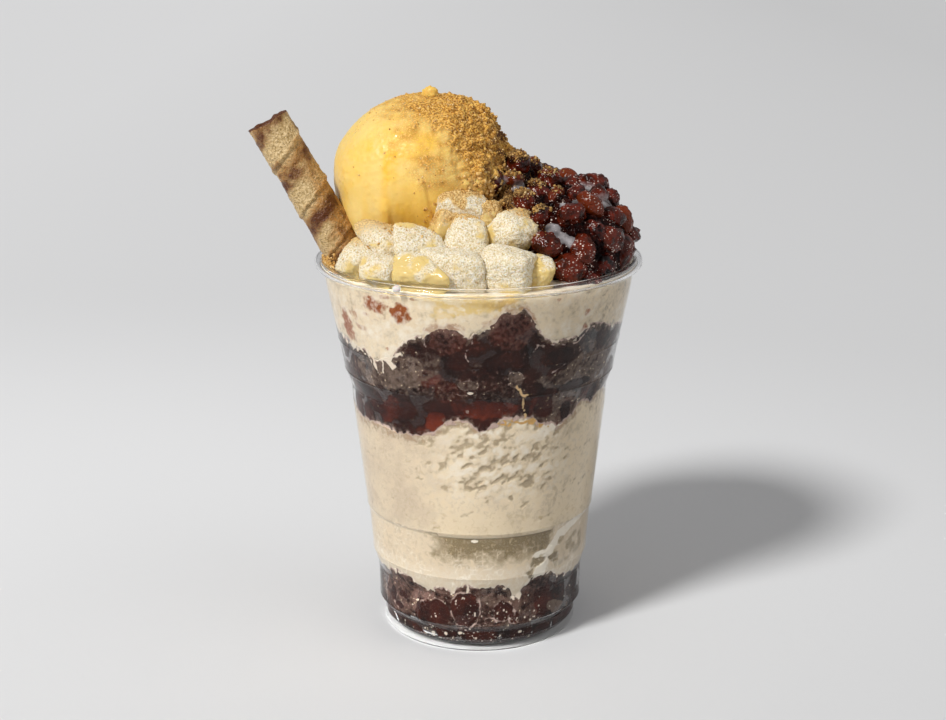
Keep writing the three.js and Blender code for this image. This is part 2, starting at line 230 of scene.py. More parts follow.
# where the beans end, [degrees, height] all round
BEANS_BELOW_TOP = [
    [-75, 23], [-60, 22.5], [-50, 23.5], [-45, 23], [-40, 23.4], [-36, 21.6], [-30, 20.8],
    [-20, 21.6], [-15, 20.8], [-12, 21.6], [-7, 22.4], [-4, 22.6], [0, 22.6], [5, 23.4],
    [8, 22.8], [10, 23.6], [14, 23], [16, 22], [18, 19.6], [20, 18.8], [22, 19.8], [24, 21.5], [28, 24],
    [35, 25], [40, 25], [45, 23], [50, 22], [60, 21.5], [75, 22], [105, 24], [125, 22],
    [150, 20], [180, 21], [210, 20], [235, 22], [260, 24.5]]


def ease(value, low, high):
    """0 below low, 1 above high and the cubic smooth step between; low above high turns it round."""
    share = np.clip((value - low) / (high - low), 0, 1)
    return share * share * (3 - 2 * share)


def cloud(x, y, z, size, seed):
    """Smooth random heights from -1 to 1. Each corner of a lattice of cubes `size` mm wide draws
    a number from its place and the seed, and the smooth step blends the eight round a place."""
    place = np.stack(np.broadcast_arrays(x, y, z)).astype(float) / size + 500
    cell = np.floor(place).astype(np.int64)
    share = place - cell
    share = share * share * (3 - 2 * share)
    total = 0.0
    for corner in np.ndindex(2, 2, 2):
        i, j, k = [cell[n] + corner[n] for n in range(3)]
        draw = (i * 73856093 ^ j * 19349663 ^ k * 83492791 ^ seed * 2654435761) & 0xFFFFFFFF
        draw = ((draw ^ (draw >> 13)) * 1274126177) & 0xFFFFFFFF
        draw = ((draw ^ (draw >> 16)) * 668265263) & 0xFFFFFFFF
        weight = np.prod([share[n] if corner[n] else 1 - share[n] for n in range(3)], axis=0)
        total = total + weight * ((draw ^ (draw >> 15)) / 2.0 ** 31 - 1)
    return total


def meeting_line(points, ragged, seed):
    """Height of the line where two layers meet, all round: straight between [degrees, height]
    points, then made ragged by smooth random heights 2.6, 1.1 and 0.6 mm wide, taken along a
    ring of 42 mm radius."""
    turn, height = np.array(points, float).T
    angle = np.radians(TURN)
    x, y = 42 * np.sin(angle), -42 * np.cos(angle)
    return (np.interp(TURN, turn, height, period=360)
            + ragged * (cloud(x, y, 0, 2.6, seed) + 0.8 * cloud(x, y, 0, 1.1, seed + 1)
                        + 0.2 * cloud(x, y, 0, 0.6, seed + 2)))


def side(low, high, rows):
    """Turn, height, x and y on the wall's inside, for a grid whose rows go straight from one line
    of heights to another."""
    height = low + (high - low) * np.linspace(0, 1, rows)[:, None]
    turn = np.broadcast_to(TURN, height.shape)
    angle, radius = np.radians(turn), inside_radius(height)
    return turn, height, radius * np.sin(angle), -radius * np.cos(angle)


def filling(name, node, turn, height, depth, tucked, material, fields, top=None):
    """A layer of filling as one closed piece. Its side is the cup's inside, pressed REACH into
    the wall and drawn back by depth; rows under the tucked line go half as far in, behind the
    layer below. Its ends run level to the axis, unless top gives the rows of its upper face."""
    reach = REACH - 0.07 * ease(height, tucked + 0.2, tucked - 0.2)
    radius = inside_radius(height) + reach - depth
    angle = np.radians(turn)
    wall = np.stack([radius * np.sin(angle), -radius * np.cos(angle), height], -1)

    def to_axis(row, shares):
        middle = np.array([0, 0, row[:, 2].mean()])
        return middle + (row - middle) * np.array(shares)[:, None, None]

    bottom = to_axis(wall[0], [0, 0.3, 0.6, 0.85, 0.96])
    upper = to_axis(wall[-1], [0.96, 0.85, 0.6, 0.3, 0]) if top is None else top
    places, faces, keep = skin(np.concatenate([bottom, wall, upper]), tips=(True, True))
    spread = {}
    for key, values in fields.items():
        ends = [np.repeat(values[:1], len(bottom), 0), values]
        if len(values) == len(wall):
            ends.append(np.repeat(values[-1:], len(upper), 0))
        spread[key] = np.concatenate(ends).reshape(-1)[keep]
    piece(name, places, faces, material, [node], spread)


def wander(turn, height, x, y, seed):
    """Turn and height shifted by smooth random amounts, 1.3 mm over 4 mm, 0.5 mm over 1.3 mm
    and 0.2 mm over 0.6 mm, so that any shape drawn with them has a wandering, torn edge."""
    shift = [1.3 * cloud(x, y, height, 4, seed + i) + 0.5 * cloud(x, y, height, 1.3, seed + i + 2)
             + 0.2 * cloud(x, y, height, 0.6, seed + i + 4) for i in (0, 1)]
    return turn + np.degrees(shift[0] / inside_radius(height)), height + shift[1]


def pressed_beans(turn, height, middles, seed):
    """Beans crushed against the wall. Each middle, [degrees, height], carries an ellipse about
    9 by 7 mm, turned at random. Gives each place's distance from its nearest bean, 0 at that
    bean's middle and 1 at its edge, and the bean's own random number."""
    random = np.random.default_rng(seed)
    nearest = np.full(height.shape, 9.0)
    number = np.zeros(height.shape)
    per_degree = np.radians(1) * inside_radius(height)
    for bean_turn, bean_height in middles:
        along = ((turn - bean_turn + 180) % 360 - 180) * per_degree
        up = height - bean_height
        tilt, length, width, draw = random.uniform([0, 3.6, 2.7, 0], [np.pi, 5.4, 4.0, 1])
        far = np.hypot((along * np.cos(tilt) + up * np.sin(tilt)) / length,
                       (up * np.cos(tilt) - along * np.sin(tilt)) / width)
        number = np.where(far < nearest, draw, number)
        nearest = np.minimum(far, nearest)
    return nearest, number


def scattered_middles(low, high, spacing, radius, seed):
    """Middles for a layer's beans: rows a spacing apart, each bean pushed off its place at
    random by up to a third of the spacing."""
    random = np.random.default_rng(seed)
    across = int(2 * np.pi * radius / spacing)
    step = 360 / across
    rows = np.arange(low, high, spacing * 0.85)
    grid = np.array([[(i + 0.5 * (j % 2)) * step - 180, h]
                     for j, h in enumerate(rows) for i in range(across)])
    return grid + random.uniform(-0.34, 0.34, grid.shape) * [step, spacing]


def to_left(turn, start, full):
    """1 on the left of the front, beyond full degrees, and 0 right of start and at the back."""
    return ease(turn, start, full) * ease(np.abs(turn), 175, 120)


def stroke(turn, height, path, width):
    """How much a line covers each place, from 0 to 1: full along the path through its
    [degrees, height] points, and fading out by half its width away on the wall."""
    per_degree = np.radians(1) * inside_radius(height)
    nearest = np.full(height.shape, 1e3)
    for (t0, h0), (t1, h1) in zip(path[:-1], path[1:]):
        x, y = (turn - t0) * per_degree, height - h0
        dx, dy = (t1 - t0) * per_degree, h1 - h0
        share = np.clip((x * dx + y * dy) / (dx * dx + dy * dy + 1e-9), 0, 1)
        nearest = np.minimum(nearest, np.hypot(x - dx * share, y - dy * share))
    return ease(nearest, width / 2 + 0.15, width / 2 - 0.35)


def spot(turn, height, middle, half):
    """How much an oval spot covers each place: 1 inside, fading out at its edge. The middle is
    in [degrees, height] and the half sizes in mm on the wall."""
    per_degree = np.radians(1) * inside_radius(height)
    far = np.hypot((turn - middle[0]) * per_degree / half[0], (height - middle[1]) / half[1])
    return ease(far, 1.15, 0.85)


def marks(shape, turn, height, rows):
    """The sum of several strokes or spots. Each row is the share that one counts for, and then
    what the shape itself asks for."""
    return sum(share * shape(turn, height, *terms) for share, *terms in rows)


# Boiled red beans in syrup against plastic: a near-black brown mass in which the skins show a
# little redder, a greyish film where milk lies between, and pale lace along the film's edge.
# Its index is close to the plastic's, so the wall it wets hardly shines.
beans_wall, tree, shader = finish("wet_red_bean_paste", Roughness=0.28, IOR=1.12)
coords = add(tree, "TexCoord", {})
blotch = add(tree, "TexNoise", {"Vector": coords.outputs["Object"], "Scale": 900.0, "Detail": 4.0,
                                "Roughness": 0.6})
soft = add(tree, "TexNoise", {"Vector": coords.outputs["Object"], "Scale": 170.0, "Detail": 4.0})
mixed = add(tree, "MapRange", {"Value": soft.outputs[0], "From Min": 0.3, "From Max": 0.7}).outputs[0]
fray = add(tree, "Math", {0: blotch.outputs[0], 1: 0.5}, operation="SUBTRACT").outputs[0]
colour = add(tree, "Mix", {0: mixed, 6: linear("#100301"), 7: linear("#2E140B")},
             data_type="RGBA").outputs[2]
# each field is laid over the last, its edge frayed by the 1.1 mm blotches and its cover eased
# from nothing to full between two values
for name, dark, light, grain_of, low, high in [
        ("bean", "#180502", "#42190F", mixed, 0.1, 0.9),
        ("tone", "#46160C", "#6C2914", mixed, 0.1, 0.9),
        ("haze", "#482E27", "#84675B", blotch.outputs[0], 0.1, 0.9),
        ("frost", "#46342B", "#7C6A5D", blotch.outputs[0], 0.2, 0.85)]:
    amount = add(tree, "Attribute", {}, attribute_name=name)
    torn = add(tree, "Math", {0: fray, 1: 1.2, 2: amount.outputs["Fac"]}, operation="MULTIPLY_ADD")
    cover = add(tree, "MapRange", {"Value": torn.outputs[0], "From Min": low, "From Max": high})
    tint = add(tree, "Mix", {0: grain_of, 6: linear(dark), 7: linear(light)},
               data_type="RGBA").outputs[2]
    colour = add(tree, "Mix", {0: cover.outputs[0], 6: colour, 7: tint},
                 data_type="RGBA").outputs[2]
# specks of sugar and powder where milk has frosted the wall, up to 0.7 mm across, which is coarser than
# real ones so that they show; their pale colour is also a painted glint
grit = add(tree, "TexVoronoi", {"Vector": coords.outputs["Object"], "Scale": 900.0})
frosted = add(tree, "Attribute", {}, attribute_name="frost")
hazed = add(tree, "Attribute", {}, attribute_name="haze")
either = add(tree, "Math", {0: frosted.outputs["Fac"], 1: hazed.outputs["Fac"]}, operation="MAXIMUM")
clumps = add(tree, "Math", {0: either.outputs[0], 1: 0.2, 2: blotch.outputs[0]},
             operation="MULTIPLY_ADD")
near_clumps = add(tree, "MapRange", {"Value": clumps.outputs[0], "From Min": 0.56, "From Max": 0.82,
                                     "To Min": -0.02, "To Max": 0.32}).outputs[0]
speck_and_glint = add(tree, "Math", {0: grit.outputs["Distance"], 1: near_clumps}, operation="LESS_THAN")
colour = add(tree, "Mix", {0: speck_and_glint.outputs[0], 6: colour, 7: linear("#D2BE9C")},
             data_type="RGBA").outputs[2]
for name, code, low, high in [("lace", "#B8A196", 0.3, 0.8), ("milk", "#DACDBB", 0.3, 0.7),
                              ("powder", "#CBAB7C", 0.35, 0.7)]:
    amount = add(tree, "Attribute", {}, attribute_name=name)
    torn = add(tree, "Math", {0: fray, 1: 1.3, 2: amount.outputs["Fac"]}, operation="MULTIPLY_ADD")
    cover = add(tree, "MapRange", {"Value": torn.outputs[0], "From Min": low, "From Max": high})
    colour = add(tree, "Mix", {0: cover.outputs[0], 6: colour, 7: linear(code)},
                 data_type="RGBA").outputs[2]
tree.links.new(colour, shader.inputs["Base Color"])
grain = add(tree, "Bump", {"Height": blotch.outputs[0], "Strength": 0.25, "Distance": 0.0004})
tree.links.new(grain.outputs[0], shader.inputs["Normal"])


def bean_layer(turn, height, x, y, middles, seed, foggy, laced):
    """Depth and fields of crushed beans against the wall. Inside its edge a bean touches the
    wall, and beyond it the paste falls back. Foggy is how much of the paste is frosted by milk,
    in patches 7 mm wide and most of all close round a bean; laced is how bright the line of
    milk along a bean's edge is, which comes and goes every 3 mm."""
    far, number = pressed_beans(*wander(turn, height, x, y, seed + 1), middles, seed)
    bean = ease(far, 1.08, 0.78) * (0.75 + 0.25 * cloud(x, y, height, 1.4, seed + 9))
    patch = cloud(x, y, height, 7, seed + 10) + 0.6 * cloud(x, y, height, 2.6, seed + 11)
    patch += 0.3 * cloud(x, y, height, 0.9, seed + 15)
    frost = ease(patch, 0.9 - 1.3 * foggy, 1.5 - 1.3 * foggy) * (1 - bean)
    frost += 0.6 * foggy * np.exp(-np.clip(far - 1, 0, 2) / 0.2) * (1 - bean)
    broken = ease(cloud(x, y, height, 2.6, seed + 12)
                  + 0.5 * cloud(x, y, height, 0.9, seed + 16), 0.0, 0.5)
    lace = np.exp(-((far - 1.03) / 0.035) ** 2) * broken * laced
    depth = 0.25 * ease(far, 0.85, 1.2) * (1 - 0.7 * frost) + 0.1 * cloud(x, y, height, 1.2, seed + 14)
    return np.clip(depth, 0, 2), {"tone": number ** 2 * bean, "bean": bean,
                                  "frost": np.clip(frost, 0, 1) * 0.85, "lace": lace}


low_line = np.full(len(TURN), FLOOR - REACH)
high_line = meeting_line(BEANS_BELOW_TOP, 0.6, 11)
turn, height, x, y = side(low_line, high_line, 92)
middles = np.concatenate([scattered_middles(4, 22, 8.2, LOWER_RADIUS, 12),
                          [[-8, 14.6], [14, 13.5], [-27, 12], [-58, 15], [38, 13], [-3, 6]]])
depth, fields = bean_layer(turn, height, x, y, middles, 13, 0.45, 0.6)
# what is drawn with torn and wavy has a ragged edge, and with crisp a half ragged one
torn, wavy = wander(turn, height, x, y, 31)
crisp = [0.45 * a + 0.55 * b for a, b in ((torn, turn), (wavy, height))]
rough = cloud(x, y, height, 1.6, 40) + 0.6 * cloud(x, y, height, 0.8, 39)
foot = ease(height, 8.6, 6.4)
front = ease(np.abs(turn), 100, 75)
below = high_line - height


def rimmed(turn, height, middle, half, seam):
    """A bean's whole face and the fine pale seam round it, from an oval with a torn edge: the
    oval's distance from its middle is pushed in and out by up to 20%. The seam lies at 1.04."""
    per_degree = np.radians(1) * LOWER_RADIUS
    far = np.hypot((turn - middle[0]) * per_degree / half[0], (height - middle[1]) / half[1])
    far = far + 0.13 * rough
    return ease(far, 1.0, 0.93), np.exp(-((far - 1.04) / (seam / min(half))) ** 2)


# beans that lie whole against the wall, and the pale seams of milk round and between them
big, big_seam = rimmed(*crisp, [-8, 14.2], [4.6, 5.6], 0.3)
jag, jag_seam = rimmed(*crisp, [-26, 12.4], [5.4, 4.2], 0.28)
far_left, left_seam = rimmed(*crisp, [-35.5, 12.4], [2.0, 3.4], 0.3)
nest, nest_seam = rimmed(*crisp, [13.4, 13.6], [3.2, 3.2], 0.45)
knot, knot_seam = rimmed(*crisp, [19.4, 11.4], [1.9, 2.0], 0.35)
right, right_seam = rimmed(*crisp, [38, 14.4], [3.8, 5.4], 0.25)
dots = [([-67, 17], [1.4, 2.4]), ([-57, 14], [1.7, 2.6]), ([-47.5, 15], [1.8, 1.4]),
        ([-52, 11], [2, 1.2])]
rings = [([22, 9.4], [1.1, 0.9]), ([-2, 8.6], [1.6, 0.8]), ([6, 10.4], [1.4, 1.0])]
whole = big + jag + far_left + nest + knot + right
whole = np.clip(whole + sum(rimmed(*crisp, m, h, 0.3)[0] for m, h in dots), 0, 1)
seams = big_seam + 0.9 * jag_seam * ease(height, 12, 15) + 0.8 * nest_seam + 0.8 * knot_seam
seams += 0.7 * sum(rimmed(*crisp, m, h, 0.3)[1] for m, h in dots + rings)
seams += 0.4 * left_seam + 0.35 * right_seam * ease(height, 14, 19)
seams += marks(stroke, *crisp, [
    (0.6, [[1, 12.4], [4, 11.4], [8, 11.6], [9, 9.6], [4, 8.8], [-4, 8.6]], 0.5),
    (0.6, [[-66, 19], [-61, 16.6], [-57, 17.4], [-52, 17.6], [-47, 17], [-44, 18.6]], 0.5)])
seams *= 0.6 + 0.5 * cloud(x, y, height, 1.3, 37)
fields["bean"] = np.clip(fields["bean"] * (1 - 0.7 * front * ease(height, 7, 9)) + whole, 0, 1)
fields["tone"] = (fields["tone"] * (1 - 0.8 * front)
                  + 0.28 * big * ease(cloud(x, y, height, 2.5, 41), -0.6, 0.8))
fields["lace"] = fields["lace"] * (1 - 0.8 * front) * (1 - 0.7 * foot) + 0.95 * seams
fields["lace"] = np.clip(fields["lace"], 0, 1) * (1 - 0.6 * foot)
fields["lace"] = np.maximum(fields["lace"], 0.8 * ease(below + 0.5 * rough, 1.2, 0.2))

# the film of milk between the beans, thickest in patches and close under the ice
film = marks(spot, torn, wavy, [
    (0.95, [-54, 15], [10, 6.5]), (0.7, [-6, 14], [18, 8]), (0.6, [27, 15], [6, 6]),
    (0.6, [-30, 18.5], [6, 3])])
film *= 0.6 + 0.55 * cloud(x, y, height, 2.0, 36) + 0.4 * cloud(x, y, height, 0.8, 38)
creamy = 0.7 * ease(below + 1.2 * rough, 3.2, 0.4)
fields["haze"] = np.clip(np.maximum(film, creamy) * (1 - 0.9 * foot), 0, 1) * (1 - whole)
pale = marks(spot, torn, wavy, [(1, [48, 11.2], [3.2, 1.9]), (0.5, [6, 17.8], [3.6, 1.8])])
fields["frost"] = np.clip(fields["frost"] * (1 - 0.85 * front * foot) * (1 - whole) + 0.9 * pale, 0, 1)

# milk that has run down, and 260 fine flecks of it, most of them low and near the front
drip = marks(stroke, torn, wavy, [
    (1, [[17, 22], [20, 19.5], [23, 18.6]], 1.4), (1, [[27, 23], [23, 21], [18, 18]], 0.7),
    (1, [[-5, 24], [-6, 20.6]], 0.9)])
random = np.random.default_rng(14)
fleck_turns = random.normal(-2, 27, 260)
fleck_heights = 2.2 + 17 * random.random(260) ** 1.6
fleck_sizes = 0.11 + 0.26 * random.random(260) ** 5
drip += marks(spot, turn, height, [
    (0.75, [t, h], [size, 1.2 * size]) for t, h, size in zip(fleck_turns, fleck_heights, fleck_sizes)])
drip += marks(spot, *crisp, [(1, middle, [0.6, 0.6]) for middle in (
    [-26, 2.8], [-21, 4.9], [-12, 5.6], [25.5, 5.2], [-30, 4.2])])
shed = cloud(x, y, height, 1.4, 34) + 0.7 * cloud(x, y, height, 0.7, 35) + 0.5 - below / 2.2
fields["milk"] = np.clip(drip + ease(shed, 0.3, 0.7), 0, 1)
fields["powder"] = np.zeros_like(drip)
filling("lower_bean_layer", "beans_bottom", turn, height, depth, low_line - 9, beans_wall,
        fields)

# ---------------------------------------------------------------- the lower milk ice
# Milk frozen and shaved into ribbons, packed on the beans up to the cup's first shoulder. The
# milk has begun to melt: clear wet ice shows in the middle and white milk runs down beside it.

# height of the cup's first shoulder, where this bed ends
RING = 39.3

# Shaved milk ice against plastic: satin and creamy, with paler ribbons through it, and it glows a
# little because light goes some millimetres in. Its low index keeps the wall it wets clear.
ice_wall, tree, shader = finish("shaved_milk_ice", Roughness=0.42, IOR=1.2,
                                Subsurface_Weight=0.3, Subsurface_Scale=0.003)
shader.inputs["Subsurface Radius"].default_value = (1.0, 0.85, 0.7)
coords = add(tree, "TexCoord", {})
# ice ribbons 1.4 mm apart, melted together
ribbons = add(tree, "TexNoise", {"Vector": coords.outputs["Object"], "Scale": 700.0, "Detail": 5.0,
                                 "Roughness": 0.6, "Distortion": 0.5})
drift = add(tree, "TexNoise", {"Vector": coords.outputs["Object"], "Scale": 60.0, "Detail": 3.0})
fray = add(tree, "Math", {0: ribbons.outputs[0], 1: 0.5}, operation="SUBTRACT").outputs[0]
colour = add(tree, "Mix", {0: drift.outputs[0], 6: linear("#D2C0A2"), 7: linear("#DFD0B6")},
             data_type="RGBA").outputs[2]
fine = add(tree, "MapRange", {"Value": ribbons.outputs[0], "From Min": 0.35, "From Max": 0.7,
                              "To Min": 0.0, "To Max": 0.35}).outputs[0]
colour = add(tree, "Mix", {0: fine, 6: colour, 7: linear("#ECE2D0")}, data_type="RGBA").outputs[2]
# the first field is a pink-grey tint that is mostly painted shade over the sides; the second is wet
# clear ice and also painted shade in gaps and hollows; the third is painted shade in pockets, pits and
# between flakes
for name, dark, light, low, high in [
        ("blush", "#B19F8A", "#C9BAA4", 0.0, 1.0), ("clear", "#62543C", "#8E7C5A", 0.05, 0.95),
        ("cavity", "#8C7C66", "#BAA98C", 0.05, 0.95), ("stain", "#66290C", "#A8602A", 0.15, 0.8),
        ("custard", "#CBAC64", "#E1C684", 0.1, 0.9), ("milk", "#DAD1C1", "#EBE3D5", 0.1, 0.9),
        ("powder", "#A67C42", "#D2AC6E", 0.35, 0.65)]:
    amount = add(tree, "Attribute", {}, attribute_name=name)
    torn = add(tree, "Math", {0: fray, 1: 1.2, 2: amount.outputs["Fac"]}, operation="MULTIPLY_ADD")
    cover = add(tree, "MapRange", {"Value": torn.outputs[0], "From Min": low, "From Max": high})
    tint = add(tree, "Mix", {0: ribbons.outputs[0], 6: linear(dark), 7: linear(light)},
               data_type="RGBA").outputs[2]
    colour = add(tree, "Mix", {0: cover.outputs[0], 6: colour, 7: tint},
                 data_type="RGBA").outputs[2]
tree.links.new(colour, shader.inputs["Base Color"])
grain = add(tree, "Bump", {"Height": ribbons.outputs[0], "Strength": 0.3, "Distance": 0.0004})
tree.links.new(grain.outputs[0], shader.inputs["Normal"])


def ice_fields(height, **given):
    """The fields that the ice material reads, held within 0 to 1; those not given are 0."""
    names = ("blush", "clear", "cavity", "stain", "custard", "milk", "powder")
    return {n: np.clip(given.get(n, 0.0) * np.ones_like(height), 0, 1) for n in names}


def threads(x, y, z, size, seed):
    """Fine crossing threads, 1 along them: where either of two smooth random heights passes
    through nothing."""
    lines = np.minimum(np.abs(cloud(x, y, z, size, seed)), np.abs(cloud(x, y, z, size, seed + 1)))
    return ease(lines, 0.13, 0.03)


lower_line = meeting_line(BEANS_BELOW_TOP, 0.6, 11)
ring_line = np.full(len(TURN), RING)
turn, height, x, y = side(lower_line - TUCK, ring_line, 80)
torn, wavy = wander(turn, height, x, y, 51)
fray = 1.2 * cloud(x, y, height, 3, 54) + 1.0 * cloud(x, y, height, 1.1, 59)
hairs = ease(cloud(x, y, height, 3, 53) + 0.5 * cloud(x, y, height, 1, 49), -0.4, 0.6)
hairs = threads(x, y, height, 1.5, 52) * hairs
# clear wet ice: in the front's middle, in a patch at its right and in patches at the back
wet = (ease(height + 1.3 * fray, 27, 34.5) * ease(turn + 3 * fray, -30, -14)
       * ease(turn + 2 * fray, 42, 34))
wet += 0.55 * spot(torn, wavy, [52, 30], [9, 5]) * ease(cloud(x, y, height, 2, 55), -0.5, 0.4)
wet += (0.7 * ease(np.abs(turn), 75, 100) * ease(cloud(x, y, height, 9, 56) + 0.3 * fray, -0.1, 0.9)
        * ease(height + 2 * fray, 27, 37))
# white milk that runs down beside it round two hollows, which are darkened as painted shade, and beads
# of it under the shoulder
run = marks(stroke, torn, wavy, [
    (1, [[66, 40], [54, 38.4], [46, 36], [40, 32.4], [36, 28.6], [33.5, 25.6]], 3.4),
    (1, [[42, 34], [35, 31.4], [29, 29.6]], 1.3), (1, [[24, 21], [29, 24.6], [35, 27]], 1.4)])
hollow = marks(spot, torn, wavy, [
    (1, [31.5, 28.2], [2.4, 1.5]), (1, [28, 25.6], [1.8, 1.1]), (0.8, [42, 28.4], [2.6, 1.5])])
beads = stroke(turn, wavy, [[28, 39.2], [-16, 39.2]], 0.7) * ease(cloud(x, y, 0, 1.3, 57), -0.1, 0.35)
beads += spot(turn, height, [-2.5, 37.2], [1.1, 0.5])
flecked = ease(cloud(x, y, height, 1.6, 58) + 0.6 * cloud(x, y, height, 0.8, 48), 0.0, 0.6)
strands = 0.6 * hairs * ease(height, 38.5, 32)
filled = ease(hollow, 0.5, 0)
depth = 0.15 * ease(wet, 0.3, 1) * (1 - strands) + 0.06 * (1 - flecked) + 0.2 * hollow
# the ice is tinted pink-grey, more deeply over the right as painted shade, and its flecks at the left
# are darkened as painted shade
filling("lower_milk_ice", "ice_bottom", turn, height, depth, lower_line, ice_wall,
        ice_fields(height, clear=1.1 * wet * (1 - strands) * (1 - 0.2 * flecked) + 0.8 * hollow,
                   blush=0.45 + 0.2 * ease(turn, 42, 50) * ease(np.abs(turn), 175, 120),
                   cavity=0.2 * flecked * to_left(turn, -14, -22) * (1 - hairs),
                   milk=np.clip(run * filled + beads, 0, 1) + 0.3 * ease(height, 30, 26) * filled
                   + 0.5 * hairs * ease(wet, 0.6, 0.2)))

# ---------------------------------------------------------------- the middle milk ice
# A second, thicker bed of shaved milk ice. Ribbons that never packed down leave slanting
# pockets along the front, and the milk has settled smooth against the cup below them.

# where the bed ends, [degrees, height] all round
ICE_MIDDLE_TOP = [
    [-75, 71.5], [-60, 70], [-50, 70], [-35, 69.6], [-28, 70], [-22, 70.6], [-19, 72],
    [-16, 73.6], [-12, 75.6], [-8, 76], [-5, 75], [-2, 73], [0, 72.6], [3, 73], [7, 74.4],
    [10, 75.2], [15, 75.9], [20, 75.6], [25, 74.6], [30, 72.4], [36, 72], [43, 73.4], [47, 76],
    [50, 77.6], [54, 77], [58, 75.5], [62, 77], [66, 78.6], [70, 78.4], [85, 75], [100, 72],
    [120, 70.5], [145, 74], [165, 75.5], [190, 73.5], [215, 71.5], [250, 75.5], [270, 73.5]]
# about the cup's inside radius half way up, and how far along and up the wall the pockets run
MIDDLE_RADIUS = 37
POCKET_ALONG, POCKET_UP = 0.88, 0.47

upper_line = meeting_line(ICE_MIDDLE_TOP, 0.6, 61)
turn, height, x, y = side(ring_line - TUCK, upper_line, 130)
around_wall = np.radians(turn) * MIDDLE_RADIUS
slant = around_wall * POCKET_ALONG + height * POCKET_UP
steep = height * POCKET_ALONG - around_wall * POCKET_UP
# how well the ribbons are packed: noise drawn out along the slant, which gives way at the
# back to noise that joins up all round
packed = cloud(slant / 1.9, steep, 0, 1.7, 62) + 0.7 * cloud(slant / 1.5, steep, 0, 0.9, 63)
packed += 0.35 * cloud(x, y, height, 0.6, 64)
behind = ease(np.abs(turn), 120, 160)
packed = packed * (1 - behind) + behind * 1.2 * cloud(x, y, height, 2, 60)
# where the ice is loose: the front's middle, the sides, and a band under the beans
loose = np.exp(-(((turn - 9) / 36) ** 4 + ((height - 62) / 11) ** 4))
loose += 0.75 * ease(np.abs(turn), 60, 90) * ease(height, 48, 56)
below_top = upper_line - height + 0.8 * cloud(x, y, height, 2, 65)
loose = np.clip(loose + ease(below_top, 4.5, 1) * ease(np.abs(turn - 6), 36, 28), 0, 1)
pockets = ease(packed - 0.85 + 0.75 * loose, 0.0, 0.65)
deep = ease(packed - 1.0 + 0.6 * loose, 0.1, 0.6) * spot(turn, height, [10, 59], [18, 8])
snow = loose * ease(packed, 0.2, -0.6)
crumbly = ease(cloud(x, y, height, 1.0, 66) + 0.5 * cloud(x, y, height, 0.5, 67), -0.2, 1.0)
shallow = ease(cloud(x, y, height, 5, 68) + 0.5 * cloud(x, y, height, 1.6, 69), -0.4, 0.9)
streak = stroke(*wander(turn, height, x, y, 70), [[36, 53], [39, 50], [38, 46.5]], 1.8)
# a thread of soy powder along the top, and bean syrup that has seeped in from above
dust = stroke(*wander(turn, height, x, y, 71),
              [[8, 75.2], [15, 75.6], [20, 75.1], [26, 74], [31, 72.4]], 1.4)
dust *= ease(cloud(x, y, height, 0.8, 72), -0.6, 0.1)
bloody = below_top + 1.6 * cloud(x, y, height, 1.0, 73) + cloud(x, y, height, 0.5, 74)
bloody = ease(bloody, 2.6, 0.4)
depth = 0.13 * pockets + 0.12 * deep + 0.05 * crumbly
# the pockets, the crumbly spots and a streak are darkened as painted shade, the deep pockets more so,
# and the left is darkened pink-grey as painted shade
filling("middle_milk_ice", "ice_middle", turn, height, depth, ring_line - 0.05, ice_wall,
        ice_fields(height, cavity=0.75 * pockets + 0.5 * deep + 0.16 * crumbly * (0.4 + 0.6 * loose)
                   + 0.2 * ease(packed, -0.4, 0.8) * loose + 0.4 * streak,
                   blush=0.65 * to_left(turn, -5, -40) * (0.8 + 0.2 * shallow)
                   + 0.25 * shallow + 0.4 * bloody,
                   custard=0.12 * ease(height, 50, 41) * ease(turn, -40, -10), stain=0.22 * bloody,
                   clear=0.14 * shallow * (1 - to_left(turn, 20, -10)) + 0.2 * deep + 0.3 * bloody,
                   powder=0.8 * dust, milk=0.7 * snow * (1 - to_left(turn, 0, -40))))

# ---------------------------------------------------------------- the upper beans
# The second spoonful of sweet beans, pressed into the cup's upper shoulder. Milk ice has slumped
# into it from above, and roasted soy powder has run down inside the wall.

# where the beans end, [degrees, height] all round
BEANS_ABOVE_TOP = [
    [-75, 96], [-62, 95], [-55, 94], [-50, 94], [-48, 92.4], [-45, 91.4], [-40, 92.5],
    [-36, 93.2], [-33, 96], [-29.5, 98.8], [-25, 101], [-21, 101.4], [-19, 103.4], [-15, 104.6],
    [-10, 105], [-7, 104.4], [-6, 103], [-4, 101.2], [-2, 103.2], [2, 104.6], [5, 105.6],
    [8, 108.6], [10, 110], [13, 109.4], [15, 110.6], [18, 109], [20, 106], [22, 103], [25, 101],
    [30, 99.6], [36, 99.4], [40, 99.8], [43, 102], [47, 102.6], [52, 102], [60, 100], [75, 98],
    [90, 97], [110, 99.5], [130, 104], [150, 101], [170, 96.2], [190, 97.5], [210, 101],
    [230, 105], [250, 101], [268, 99]]
# about the cup's inside radius half way up these beans
UPPER_RADIUS = 41

# the line is less ragged at the right, where the ice lies smooth on the beans
top_ragged = 0.5 - 0.3 * ease(TURN, 32, 40) * ease(TURN, 120, 90)
top_line = meeting_line(BEANS_ABOVE_TOP, top_ragged, 41)
turn, height, x, y = side(upper_line - TUCK, top_line, 130)
middles = np.concatenate([scattered_middles(72, 108, 8.4, UPPER_RADIUS, 42),
                          [[14, 105], [-13, 100], [28, 79], [41, 76], [57, 79], [-4, 87.5], [-20, 74.5],
                           [4, 78], [35, 94]]])
depth, fields = bean_layer(turn, height, x, y, middles, 43, 0.3, 0.15)
torn, wavy = wander(turn, height, x, y, 61)
crisp = [0.45 * a + 0.55 * b for a, b in ((torn, turn), (wavy, height))]
speckled = cloud(x, y, height, 1.2, 60) + 0.6 * cloud(x, y, height, 0.6, 59)
below = top_line - height
